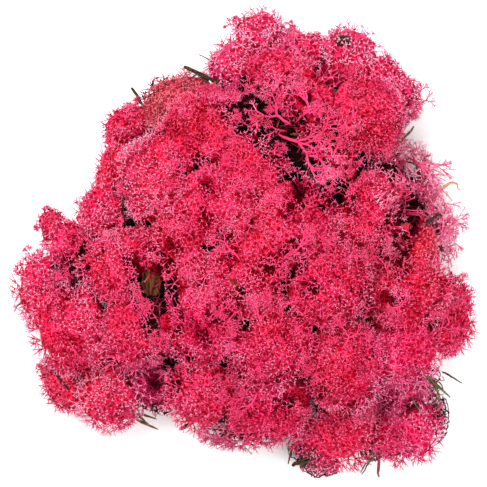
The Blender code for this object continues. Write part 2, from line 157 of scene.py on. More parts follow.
@dataclass
class Surface:
    """Closed meshes gathered into one piece, with a tone, a tint and a weave for every point."""

    points: list[Array] = field(default_factory=list)
    faces: list[Array] = field(default_factory=list)
    tones: list[Array] = field(default_factory=list)
    tints: list[Array] = field(default_factory=list)
    weaves: list[Array] = field(default_factory=list)
    count: int = 0

    def add(
        self,
        points: Array,
        faces: list[Array],
        tones: Array,
        tints: Array,
        weaves: Array | None = None,
    ) -> None:
        """Adds a closed mesh.

        Args:
            points: its corners, in millimetres.
            faces: arrays of corner numbers, each for faces with one number of corners.
            tones: the tone of each corner.
            tints: the tint of each corner.
            weaves: how strongly the net of strands is drawn at each corner.
        """
        self.points.append(points)
        self.faces += [part + self.count for part in faces]
        self.tones.append(tones)
        self.tints.append(tints)
        self.weaves.append(np.zeros(len(points)) if weaves is None else weaves)
        self.count += len(points)

    def add_tubes(self, paths: Array, radii: Array, tones: Array, tints: Array, sides: int) -> None:
        """Adds a round tube along each path, closed at both ends.

        A tube's points are path + radius (cos a side + sin a up), with a in equal steps round the
        path and side and up square to its run.

        Args:
            paths: middle lines, as tubes by points by 3.
            radii: the radius at each point of each path.
            tones: the tone at each point of each path.
            tints: one tint for each tube.
            sides: how many sides a tube has.
        """
        tubes, rows = radii.shape
        if tubes == 0:
            return
        runs = unit(np.gradient(paths, axis=1))
        side, _ = across(unit(paths[:, -1] - paths[:, 0]))
        side = unit(side[:, None] - (side[:, None] * runs).sum(axis=-1, keepdims=True) * runs)
        up = np.cross(runs, side)
        turn = np.arange(sides) * 2.0 * np.pi / sides
        ring = side[:, :, None] * np.cos(turn)[:, None] + up[:, :, None] * np.sin(turn)[:, None]
        points = paths[:, :, None] + radii[:, :, None, None] * ring
        here = np.arange(sides)
        after = np.roll(here, -1)
        row = np.arange(rows - 1)[:, None] * sides
        walls = np.stack([row + here, row + after, row + sides + after, row + sides + here], axis=-1)
        first = np.arange(tubes)[:, None] * rows * sides
        faces = [
            (walls.reshape(1, -1, 4) + first[:, :, None]).reshape(-1, 4),
            first + here[::-1],
            first + (rows - 1) * sides + here,
        ]
        shades = np.repeat(tones, sides, axis=1)
        self.add(points.reshape(-1, 3), faces, shades.ravel(), np.repeat(tints, rows * sides))

    def add_crowned_twigs(
        self,
        paths: Array,
        radii: Array,
        tips: Array,
        tones: Array,
        tints: Array,
        first: Array,
    ) -> None:
        """Adds three-sided twigs that each end in a crown of three pointed tips.

        A twig is a ring at its start, a ring at its end, a middle point there and three tips. Tip i
        stands on the part of the end between ring corners i and i + 1 and the middle point.

        Args:
            paths: the start and end of each twig.
            radii: the radius at each of them.
            tips: the three tips of each twig.
            tones: the tones of the start, the end and the tips of each twig.
            tints: one tint for each twig.
            first: the turn of each twig's first ring corner.
        """
        twigs = len(paths)
        run = unit(paths[:, 1] - paths[:, 0])
        side, up = across(run)
        turn = first[:, None] + np.arange(3) * 2.0 * np.pi / 3.0
        ring = side[:, None] * np.cos(turn)[..., None] + up[:, None] * np.sin(turn)[..., None]
        places = paths[:, :, None] + radii[:, :, None, None] * ring[:, None]
        middle = paths[:, 1:] + run[:, None] * radii[:, 1:, None] * 0.5
        points = np.concatenate([places.reshape(twigs, 6, 3), middle, tips], axis=1)
        shades = np.repeat(tones, [3, 4, 3], axis=1)
        here, after = np.arange(3), np.array([1, 2, 0])
        end, centre, tip = here + 3, np.full(3, 6), here + 7
        walls = np.stack([here, after, after + 3, end], axis=-1)
        crown = np.concatenate([
            np.stack([end, after + 3, tip], axis=-1),
            np.stack([after + 3, centre, tip], axis=-1),
            np.stack([centre, end, tip], axis=-1),
            [[2, 1, 0]],
        ])
        start = np.arange(twigs)[:, None, None] * 10
        faces = [(walls + start).reshape(-1, 4), (crown + start).reshape(-1, 3)]
        self.add(points.reshape(-1, 3), faces, shades.ravel(), np.repeat(tints, 10))

    def triangles(self) -> int:
        """How many triangles the faces come to."""
        return sum(len(part) * (part.shape[1] - 2) for part in self.faces)

    def build(self, name: str, material: bpy.types.Material) -> bpy.types.Object:
        """Makes the object, in metres, with the tones and tints as attributes of its points.

        Args:
            name: the name of the object.
            material: its material.

        Returns:
            The object.
        """
        mesh = bpy.data.meshes.new(name)
        places = np.concatenate(self.points) * MM
        sizes = np.concatenate([np.full(len(part), part.shape[1]) for part in self.faces])
        corners = np.concatenate([part.ravel() for part in self.faces])
        mesh.vertices.add(len(places))
        mesh.vertices.foreach_set("co", places.astype(np.float32).ravel())
        mesh.loops.add(len(corners))
        mesh.loops.foreach_set("vertex_index", corners.astype(np.int32))
        mesh.polygons.add(len(sizes))
        mesh.polygons.foreach_set("loop_start", (np.cumsum(sizes) - sizes).astype(np.int32))
        mesh.polygons.foreach_set("use_smooth", np.ones(len(sizes), bool))
        mesh.update(calc_edges=True)
        for label, values in (("tone", self.tones), ("tint", self.tints), ("weave", self.weaves)):
            layer = mesh.attributes.new(label, "FLOAT", "POINT")
            layer.data.foreach_set("value", np.concatenate(values).astype(np.float32))
        mesh.materials.append(material)
        piece = bpy.data.objects.new(name, mesh)
        bpy.context.scene.collection.objects.link(piece)
        return piece


def across(runs: Array) -> tuple[Array, Array]:
    """Two unit directions square to each run and to each other."""
    helper = np.where(np.abs(runs[..., 2:]) < 0.8, [0.0, 0.0, 1.0], [1.0, 0.0, 0.0])
    side = unit(np.cross(helper, runs))
    return side, np.cross(runs, side)


def apart(places: Array, spacing: Array, rng: np.random.Generator) -> Array:
    """A mask of points that lie at least their spacing apart and leave no wide gap.

    Every point draws a rank. In each round a point is kept if no undecided point within its
    spacing ranks higher, and its neighbours then drop out.

    Args:
        places: the places, one row each.
        spacing: the least distance for each.
        rng: the source of the ranks.

    Returns:
        A mask of the points that are kept.
    """
    flat = places.astype(np.float32)
    square = (flat**2).sum(axis=1)
    distance = square[:, None] + square[None] - 2.0 * flat @ flat.T
    one, other = np.nonzero(distance < (spacing**2)[:, None])
    pairs = one != other
    one, other = one[pairs], other[pairs]
    one, other = np.concatenate([one, other]), np.concatenate([other, one])
    rank = rng.permutation(len(places))
    undecided = np.ones(len(places), bool)
    kept = np.zeros(len(places), bool)
    while undecided.any():
        beaten = np.zeros(len(places), bool)
        beaten[one[undecided[other] & (rank[other] > rank[one])]] = True
        winners = undecided & ~beaten
        kept |= winners
        undecided &= ~winners
        undecided[one[winners[other]]] = False
    return kept


def ball(subdivisions: int) -> tuple[Array, Array]:
    """The corners and triangles of an even ball of radius one."""
    bm = bmesh.new()
    bmesh.ops.create_icosphere(bm, subdivisions=subdivisions, radius=1.0)
    corners = np.array([vert.co[:] for vert in bm.verts])
    faces = np.array([[vert.index for vert in face.verts] for face in bm.faces])
    bm.free()
    return corners, faces


def node_points(node: str) -> Array:
    """The corners of a frame node's mesh, in millimetres."""
    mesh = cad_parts[node].data
    flat = np.empty(len(mesh.vertices) * 3, np.float32)
    mesh.vertices.foreach_get("co", flat)
    return np.unique(np.round(flat.reshape(-1, 3) / MM, 3), axis=0)


@dataclass(frozen=True)
class Envelope:
    """The rounded form that a frame node fills: its reach, tabled over the turn and the tilt.

    A corner of the node's mesh counts as its length times exp(FALLOFF (cos angle - 1)) in every
    direction, and the reach is the soft maximum of these: the root of the sum of their powers. It
    is then scaled so that most corners, INSIDE in a hundred, lie within it, and drawn in on the
    clump's outer side.
    """

    middle: Array
    table: Array
    largest: float

    @classmethod
    def of_node(cls, node: str, inset: float = 0.0) -> "Envelope":
        """The envelope of a node, from the corners of its mesh, drawn in by an inset.

        Args:
            node: the name of a node of the frame.
            inset: how far it is drawn in.

        Returns:
            The envelope.
        """
        corners = node_points(node)
        middle = (corners.min(axis=0) + corners.max(axis=0)) / 2.0
        offsets = corners - middle
        lengths = np.linalg.norm(offsets, axis=1)
        tilt = np.linspace(0.0, np.pi, TILTS)[:, None]
        turn = np.linspace(-np.pi, np.pi, TURNS)[None]
        grid = [np.sin(tilt) * np.cos(turn), np.sin(tilt) * np.sin(turn), np.cos(tilt) + 0.0 * turn]
        angles = np.stack(grid, axis=-1) @ unit(offsets).T
        shares = lengths * np.exp(FALLOFF * (angles - 1.0)) / lengths.max()
        reach = lengths.max() * (shares**POWER).sum(axis=-1) ** (1.0 / POWER)
        form = cls(middle, reach, float(lengths.max()))
        share = float(np.percentile(lengths / form.reach(unit(offsets)), INSIDE))
        drawn_in = inset * form.outward(np.stack(grid, axis=-1))
        return cls(middle, reach * share - drawn_in, float(lengths.max()))

    def outward(self, directions: Array) -> Array:
        """How much directions lead out of the clump: up to 1 for level ones on its outer side."""
        side = (self.middle[:2] - CENTRE) / EDGE_DISTANCE
        return np.clip(directions[..., :2] @ side, 0.0, 1.0)

    def reach(self, directions: Array) -> Array:
        """How far the form reaches along unit directions, read between the table's entries.

        Args:
            directions: unit directions, as rows.

        Returns:
            The distance from the middle to the surface along each.
        """
        row = np.arccos(np.clip(directions[:, 2], -1.0, 1.0)) / np.pi * (TILTS - 1)
        column = (np.arctan2(directions[:, 1], directions[:, 0]) / (2.0 * np.pi) + 0.5) * (TURNS - 1)
        top = np.minimum(row.astype(int), TILTS - 2)
        left = np.minimum(column.astype(int), TURNS - 2)
        down, right = row - top, column - left
        above = self.table[top, left] * (1 - right) + self.table[top, left + 1] * right
        below = self.table[top + 1, left] * (1 - right) + self.table[top + 1, left + 1] * right
        return above * (1 - down) + below * down

    def level(self, points: Array) -> Array:
        """How far out points lie: 0 at the middle and 1 on the form."""
        offsets = points - self.middle
        far = np.maximum(np.linalg.norm(offsets, axis=1), 1e-6)
        return far / self.reach(offsets / far[:, None])


@dataclass(frozen=True)
class Well:
    """A dark hole or cleft in the canopy: a line in plan, how wide it is and how deep."""

    start: tuple[float, float]
    end: tuple[float, float]
    radius: float
    depth: float

    def sink(self, points: Array, wider: float = 0.0) -> Array:
        """How far points sink into the well: depth times exp(-(distance to the line / radius)^4)."""
        start, run = np.array(self.start), np.array(self.end) - np.array(self.start)
        offset = points[:, :2] - start
        share = np.clip(offset @ run / max(float(run @ run), 1e-9), 0.0, 1.0)
        distance = np.linalg.norm(offset - share[:, None] * run, axis=1)
        return self.depth * np.exp(-((distance / (self.radius + wider)) ** 4))


WELLS = (
    Well((-3.5, 56.5), (3.6, 51.5), 3.6, 11.0),
    Well((3.6, 51.1), (11.9, 42.4), 3.8, 12.0),
    Well((11.9, 42.1), (18.5, 36.2), 2.4, 9.0),
    Well((16.2, 61.0), (18.0, 58.5), 1.6, 5.0),
    Well((22.5, 33.6), (26.0, 31.0), 2.2, 7.0),
    Well((29.0, 24.6), (31.5, 22.6), 1.4, 5.0),
    Well((16.4, 27.0), (16.8, 25.0), 2.4, 12.0),
    Well((-16.9, 29.2), (-16.3, 28.4), 1.5, 6.0),
    Well((47.3, -13.2), (48.9, -15.0), 2.2, 9.0),
    Well((55.3, 21.5), (57.6, 13.0), 2.5, 9.0),
    Well((52.9, 14.6), (54.2, 13.6), 1.3, 6.0),
    Well((50.6, 9.4), (51.4, 8.7), 1.2, 6.0),
    Well((52.9, 5.6), (51.8, 0.6), 1.9, 4.5),
    Well((-35.8, -3.6), (-35.2, -10.0), 3.6, 5.5),
    Well((-33.8, -12.5), (-31.8, -23.0), 2.1, 8.0),
    Well((-33.0, -39.0), (-35.0, -44.0), 1.8, 4.0),
    Well((-39.9, 2.6), (-39.4, -0.6), 1.8, 5.0),
    Well((-34.5, -41.5), (-33.8, -44.0), 2.2, 6.0),
    Well((13.0, -47.4), (20.0, -50.4), 1.7, 7.0),
    Well((18.6, -7.0), (17.6, -8.0), 1.3, 7.0),
    Well((5.2, -2.6), (7.0, -2.6), 1.0, 6.0),
    Well((0.4, -3.0), (1.6, -3.0), 0.8, 5.0),
    Well((14.0, -0.4), (15.2, -0.8), 0.8, 5.0),
    Well((13.6, 19.8), (13.8, 18.8), 1.0, 6.0),
    Well((-11.2, 5.2), (-10.9, 4.3), 1.1, 6.0),
    Well((-16.8, -29.6), (-16.2, -30.2), 1.2, 6.0),
    Well((-29.6, 7.9), (-29.0, 6.8), 1.2, 6.0),
    Well((-18.2, 10.8), (-17.8, 10.3), 0.9, 5.0),
    Well((-9.4, -18.0), (-7.2, -18.6), 1.1, 5.0),
    Well((-5.2, -15.2), (-3.8, -15.6), 1.0, 5.0),
    Well((-67.9, -1.7), (-67.3, -2.2), 0.9, 5.0),
    Well((-65.0, -5.9), (-64.2, -6.7), 1.0, 5.0),
    Well((-59.3, 3.9), (-58.3, 3.3), 0.9, 5.0),
)


@dataclass(frozen=True)
class Relief:
    """How high the stars stand, as a map over the plan."""

    low: Array
    heights: Array
    cell: float

    @classmethod
    def of_stars(cls, stars: Array, cell: float = 1.2, margin: float = 14.0) -> "Relief":
        """The map of stars: the highest in each cell, spread into the empty cells, then smoothed."""
        low = stars[:, :2].min(axis=0) - margin
        size = np.ceil((stars[:, :2].max(axis=0) + margin - low) / cell).astype(int) + 1
        heights = np.full(size, -np.inf)
        column, row = ((stars[:, :2] - low) / cell).astype(int).T
        np.maximum.at(heights, (column, row), stars[:, 2])
        shifts = [(x, y) for x in (-1, 0, 1) for y in (-1, 0, 1)]
        while np.isinf(heights).any():
            around = np.stack([np.roll(heights, shift, axis=(0, 1)) for shift in shifts])
            known = np.isfinite(around)
            mean = np.where(known, around, 0.0).sum(axis=0) / np.maximum(known.sum(axis=0), 1)
            heights = np.where(np.isinf(heights) & known.any(axis=0), mean, heights)
        for _ in range(2):
            heights = np.mean([np.roll(heights, shift, axis=(0, 1)) for shift in shifts], axis=0)
        return cls(low, heights, cell)

    def at(self, places: Array) -> Array:
        """The height at places in plan, read between the map's cells.

        Args:
            places: places, as rows that start with x and y.

        Returns:
            The height at each.
        """
        share = (places[..., :2] - self.low) / self.cell - 0.5
        share = np.clip(share, 0.0, np.array(self.heights.shape) - 1.001)
        column, row = share[..., 0].astype(int), share[..., 1].astype(int)
        right, up = share[..., 0] - column, share[..., 1] - row
        below = self.heights[column, row] * (1 - right) + self.heights[column + 1, row] * right
        above = self.heights[column, row + 1] * (1 - right) + self.heights[column + 1, row + 1] * right
        return below * (1 - up) + above * up


@dataclass(frozen=True)
class Canopy:
    """All the heads' forms together, melted a little into each other where they meet."""

    forms: dict[str, Envelope]
    ground: Envelope
    melt: float = 5.0
    rounds: int = 4
    most_stretch: float = 1.3
    edge_length: float = 5.0
    edge_height: float = 0.045

    def near(self, node: str) -> list[str]:
        """The other heads whose forms can touch this one's."""
        own = self.forms[node]
        return [
            name
            for name, other in self.forms.items()
            if name != node
            and np.linalg.norm(other.middle - own.middle) < own.largest + other.largest
        ]

    def rough_level(self, node: str, points: Array) -> Array:
        """A form's level with its own noise, so that the borders between heads run unevenly."""
        seed = SEED + 1000 + sorted(self.forms).index(node)
        noise = Ripple(self.edge_length, seed, 8).at(points)
        return self.forms[node].level(points) * (1.0 + self.edge_height * noise)

    def sink(self, points: Array, wider: float = 0.0) -> Array:
        """How far the wells lower the canopy at points."""
        return np.max([well.sink(points, wider) for well in WELLS], axis=0)

    def skin(self, node: str, directions: Array) -> tuple[Array, Array]:
        """Where rays from a head's middle leave the melted union, and which of them count.

        A point is on the union where the sum of level ** -melt over the heads is one, and a few
        rounds of dividing the ray by that sum's root come close enough. A ray counts where its
        own head is the one that it lies deepest in, outside the mat and above the floor.

        Args:
            node: the head whose rays they are.
            directions: unit directions.

        Returns:
            The distances along the rays, and a mask of the rays that count.
        """
        own = self.forms[node]
        near = self.near(node)
        others = [self.forms[name] for name in near]
        reach = own.reach(directions)
        length = reach.copy()
        for _ in range(self.rounds):
            points = own.middle + directions * length[:, None]
            levels = np.stack([length / reach] + [form.level(points) for form in others])
            length /= (levels**-self.melt).sum(axis=0) ** (-1.0 / self.melt)
            length = np.minimum(length, reach * self.most_stretch)
        points = own.middle + directions * length[:, None]
        levels = np.stack([self.rough_level(name, points) for name in [node, *near]])
        counts = (levels[0] <= levels.min(axis=0) + 0.015) & (self.ground.level(points) > 1.0)
        return length, counts & (points[:, 2] > FLOOR_CLEARANCE)


class Habit(Enum):
    """How a head has grown and lies."""

    DENSE = "a full cushion, tips on every side"
    OPEN = "lies on its side and shows its stems"
    LACE = "thin at the clump's edge, light comes through"
    THREADS = "long bare stems with light between them"


@dataclass(frozen=True)
class Growth:
    """The measures of a habit's branching.

    Attributes:
        spacing: the distance between neighbouring stars.
        fork_depth: how deep a fork lies, in spreads of its stars.
        core: the reach of the dense inside, as a share of the head's; none where it is 0.
        arm: how far a star's arms reach.
        strand: the radius of the finest strands.
        pit_depth: how deep the canopy's own small pits are.
        fans: how many bare stems lie open on the head, besides those that are placed.
        fade: the depth over which painted shade takes the tone from the skin's down to the inside's.
        layers: the levels at which stars stand, as shares of the reach.
    """

    spacing: float
    fork_depth: float
    core: float
    arm: float
    strand: float
    pit_depth: float
    fans: int
    fade: float
    layers: tuple[float, ...]


GROWTHS = {
    Habit.DENSE: Growth(1.02, 0.85, 0.80, 0.86, 0.175, 1.5, 4, 4.5, (1.0,)),
    Habit.OPEN: Growth(1.75, 0.85, 0.64, 1.10, 0.215, 1.5, 5, 5.0, (1.0, 0.82)),
    Habit.LACE: Growth(1.25, 0.70, 0.00, 0.95, 0.175, 0.8, 3, 18.0, (1.0, 0.78)),
    Habit.THREADS: Growth(1.40, 0.70, 0.00, 0.95, 0.190, 0.8, 2, 24.0, (1.0, 0.82, 0.64)),
}


@dataclass(frozen=True)
class Lumps:
    """The small cushions that a head's surface is made of, with shallow creases between them."""

    middles: Array
    depth: float = 1.1
    width: float = 0.10

    @classmethod
    def of_form(cls, form: Envelope, across_lump: float, rng: np.random.Generator) -> "Lumps":
        """Lumps of one size on average, their middles spread evenly and then moved a little."""
        reach = float(form.table.mean())
        count = max(8, round(4.0 * math.pi * (reach / across_lump) ** 2))
        jitter = rng.normal(0.0, 0.35 * across_lump / reach, (count, 3))
        return cls(unit(even_directions(count) + jitter))

    def relief(self, directions: Array) -> Array:
        """How the surface rises and falls: 0 on a lump and -depth in a crease.

        The crease is depth times exp(-(second angle - first angle)^2 / width^2), with the angles
        to the nearest and the second nearest middle.
        """
        angles = np.arccos(np.clip(directions @ self.middles.T, -1.0, 1.0))
        nearest = np.partition(angles, 1, axis=1)[:, :2]
        return -self.depth * np.exp(-((nearest[:, 1] - nearest[:, 0]) ** 2) / self.width**2)


def halve(points: Array, groups: Array) -> Array:
    """Splits each group of points in two across the direction in which it is widest.

    Args:
        points: the places, one row each.
        groups: the group number of each point.

    Returns:
        New group numbers: twice the old one for the lower half, and one more for the upper.
    """
    count = int(groups.max()) + 1
    sizes = np.bincount(groups, minlength=count)
    middles = group_means(points, groups, count)
    offsets = points - middles[groups]
    spread = np.zeros((count, 3, 3))
    np.add.at(spread, groups, offsets[:, :, None] * offsets[:, None, :])
    axes = np.linalg.eigh(spread)[1][:, :, -1]
    along = (offsets * axes[groups]).sum(axis=1)
    order = np.lexsort((along, groups))
    starts = np.cumsum(sizes) - sizes
    rank = np.empty(len(points), int)
    rank[order] = np.arange(len(points)) - np.repeat(starts, sizes)
    return groups * 2 + (rank * 2 >= sizes[groups])


def group_means(values: Array, groups: Array, count: int) -> Array:
    """The mean of the rows in each group, zero for a group with none."""
    total = np.zeros((count, values.shape[1]))
    np.add.at(total, groups, values)
    return total / np.maximum(np.bincount(groups, minlength=count), 1)[:, None]


def crowns(
    surface: Surface,
    paths: Array,
    radii: Array,
    arm: Array,
    tones: Array,
    tint: float,
    rng: np.random.Generator,
) -> None:
    """Adds straight strands that end in stars of three arms.

    Arm i leans from the strand's run by a wide angle, turned round it to the middle of side i and
    a little more, and its length varies.

    Args:
        surface: where they are added.
        paths: the start and end of each strand.
        radii: its radius at each.
        arm: how far its arms reach.
        tones: its tone at the start, the end and the tips.
        tint: the tint of all.
        rng: the source of the angles and lengths.
    """
    count = len(paths)
    run = unit(paths[:, 1] - paths[:, 0])
    side, up = across(run)
    first = rng.uniform(0.0, 2.0 * np.pi, count)
    turn = first[:, None] + (np.arange(3) + 0.5) * 2.0 * np.pi / 3.0 + rng.normal(0.0, 0.2, (count, 3))
    lean = rng.uniform(0.8, 1.5, (count, 3))[..., None]
    around = side[:, None] * np.cos(turn)[..., None] + up[:, None] * np.sin(turn)[..., None]
    out = run[:, None] * np.cos(lean) + around * np.sin(lean)
    tips = paths[:, 1:] + out * arm[:, None, None] * rng.uniform(0.65, 1.35, (count, 3))[..., None]
    tips[..., 2] = np.maximum(tips[..., 2], FLOOR_CLEARANCE / 2)
    surface.add_crowned_twigs(paths, radii, tips, tones, np.full(count, tint), first)


@dataclass(frozen=True)
class Frond:
    """A bare stem that lies open on the canopy and forks into a fan that ends in stars.

    Attributes:
        head: the node of the head that it belongs to.
        start: its start in plan.
        heading: which way it leaves, in degrees from +X.
        length: the length of the first stem.
        radius: the radius of the first stem.
        bend: how fast the first stem turns, in radians a millimetre.
        forks: how many sets of stems follow each other.
        opening: the angle between a stem and the ones that leave its end, in radians.
        tone: the tone of the first stem.
        lift: how high it lies over the stars.
        dip: how deep its start is sunk.
        spurs: how many short side twigs a stem has.
    """

    head: str
    start: Spot
    heading: float
    length: float
    radius: float
    bend: float = 0.0
    forks: int = 4
    opening: float = 0.5
    tone: float = 0.62
    lift: float = 0.15
    dip: float = 3.5
    spurs: int = 2
    lowest: float = 1.0
    thinnest: float = 0.17
    third_way: float = 0.35
    last_length: float = 1.3

    def bare(self, stars: Array) -> Array:
        """A mask of stars that stand where the first stem lies."""
        run = np.array([math.cos(math.radians(self.heading)), math.sin(math.radians(self.heading))])
        offset = stars[:, :2] - np.array(self.start)
        share = np.clip(offset @ run, 0.0, self.length)
        distance = np.linalg.norm(offset - share[:, None] * run, axis=1)
        return distance < self.radius + 0.5

    def grow(self, surface: Surface, relief: Relief, tint: float, rng: np.random.Generator) -> None:
        """Adds the fan, one set of stems after another.

        Two stems leave a stem's end, now and then three, each shorter and thinner, and the bend
        slackens from set to set.

        Args:
            surface: where the stems are added.
            relief: the height of the stars.
            tint: the tint of the head.
            rng: the source of its random draws.
        """
        place = np.array([self.start])
        heading, length = np.array([math.radians(self.heading)]), np.array([self.length])
        radius, bend = np.array([self.radius]), self.bend
        for level in range(self.forks):
            angle, paths, radii = self.stems(place, heading, length, radius, bend, level, relief, rng)
            tones = self.tone + 0.12 * level / self.forks + rng.normal(0.0, 0.06, (len(place), 1))
            tones = np.broadcast_to(tones, radii.shape)
            surface.add_tubes(paths, radii, tones, np.full(len(place), tint), 5 if level < 2 else 4)
            self.add_spurs(surface, paths, angle, radii, tint, rng)
            third = np.nonzero(rng.random(len(place)) < self.third_way)[0]
            both = np.arange(len(place))
            ways = np.concatenate([np.full(len(both), -1.0), np.ones(len(both)), np.zeros(len(third))])
            parent = np.concatenate([both, both, third])
            place, bend = paths[parent, -1, :2], 0.6 * bend
            start = paths[parent, -1]
            heading = angle[parent, -1] + ways * self.opening * rng.uniform(0.6, 1.4, len(ways))
            heading = heading + rng.normal(0.0, 0.12, len(ways))
            length = length[parent] * rng.uniform(0.50, 0.85, len(ways))
            radius = np.maximum(radius[parent] * rng.uniform(0.62, 0.80, len(ways)), self.thinnest)
        run = np.stack([np.cos(heading), np.sin(heading)], axis=1)
        plan = place + run * np.minimum(length, self.last_length)[:, None]
        end = np.concatenate([plan, relief.at(plan)[:, None]], axis=1)
        end[:, 2] = np.maximum(end[:, 2], self.lowest)
        tones = np.full((len(end), 3), self.tone + 0.15) + [0.0, 0.05, 0.2]
        radii = radius[:, None] * np.array([1.0, 0.9])
        arm = np.full(len(end), 0.9)
        crowns(surface, np.stack([start, end], axis=1), radii, arm, tones, tint, rng)

    def stems(
        self,
        place: Array,
        heading: Array,
        length: Array,
        radius: Array,
        bend: float,
        level: int,
        relief: Relief,
        rng: np.random.Generator,
    ) -> tuple[Array, Array, Array]:
        """One set of stems.

        A stem's heading turns evenly along it, and its height is the relief's plus the lift and a
        low arch. The first stem rises from below by dip (1 - share)^2.

        Args:
            place: the starts in plan.
            heading: the heading of each at its start.
            length: the length of each.
            radius: the radius of each at its start.
            bend: how fast they turn.
            level: how many forks lie before them.
            relief: the height of the stars.
            rng: the source of their differences.

        Returns:
            The heading, the place and the radius at each point of each stem.
        """
        count = len(place)
        share = np.linspace(0.0, 1.0, 6 if level < 2 else 4)
        turn = bend + rng.normal(0.0, 0.06, count)
        angle = heading[:, None] + (turn * length)[:, None] * share
        step = np.stack([np.cos(angle), np.sin(angle)], axis=-1)
        step = (step[:, 1:] + step[:, :-1]) / 2.0 * (length / (len(share) - 1))[:, None, None]
        plan = place[:, None] + np.concatenate([0.0 * step[:, :1], step.cumsum(axis=1)], axis=1)
        plan[:, 1:-1] += rng.normal(0.0, 0.12, plan[:, 1:-1].shape)
        arch = rng.uniform(0.0, 0.25, count)[:, None] * length[:, None] * share * (1.0 - share)
        height = relief.at(plan) + self.lift * (1.0 - 0.5 * level / self.forks) + arch
        radii = radius[:, None] * (1.0 - 0.32 * share + 0.28 * share**6)
        if level == 0:
            height = height - self.dip * (1.0 - share) ** 2
            radii = radii * (0.45 + 0.55 * np.minimum(1.0, 2.5 * share))
        paths = np.concatenate([plan, np.maximum(height, self.lowest)[..., None]], axis=-1)
        return angle, paths, radii

    def add_spurs(
        self,
        surface: Surface,
        paths: Array,
        angle: Array,
        radii: Array,
        tint: float,
        rng: np.random.Generator,
    ) -> None:
        """Adds short side twigs with crowned ends, on either side of each stem."""
        stems, rows = angle.shape
        row = rng.integers(1, rows - 1, (stems, self.spurs)).ravel()
        stem = np.repeat(np.arange(stems), self.spurs)
        side = rng.choice([-1.0, 1.0], len(stem))
        heading = angle[stem, row] + side * rng.uniform(0.6, 1.2, len(stem))
        rise = rng.uniform(0.1, 0.6, len(stem))
        out = np.stack([np.cos(heading), np.sin(heading), rise], axis=1)
        start = paths[stem, row]
        end = start + out * rng.uniform(0.9, 2.0, (len(stem), 1))
        thick = np.minimum(radii[stem, row] * 0.6, 0.24)[:, None] * np.array([1.0, 0.8])
        tones = np.full((len(stem), 3), self.tone + 0.08) + [0.0, 0.1, 0.3]
        arm = np.full(len(stem), 0.8)
        crowns(surface, np.stack([start, end], axis=1), thick, arm, tones, tint, rng)


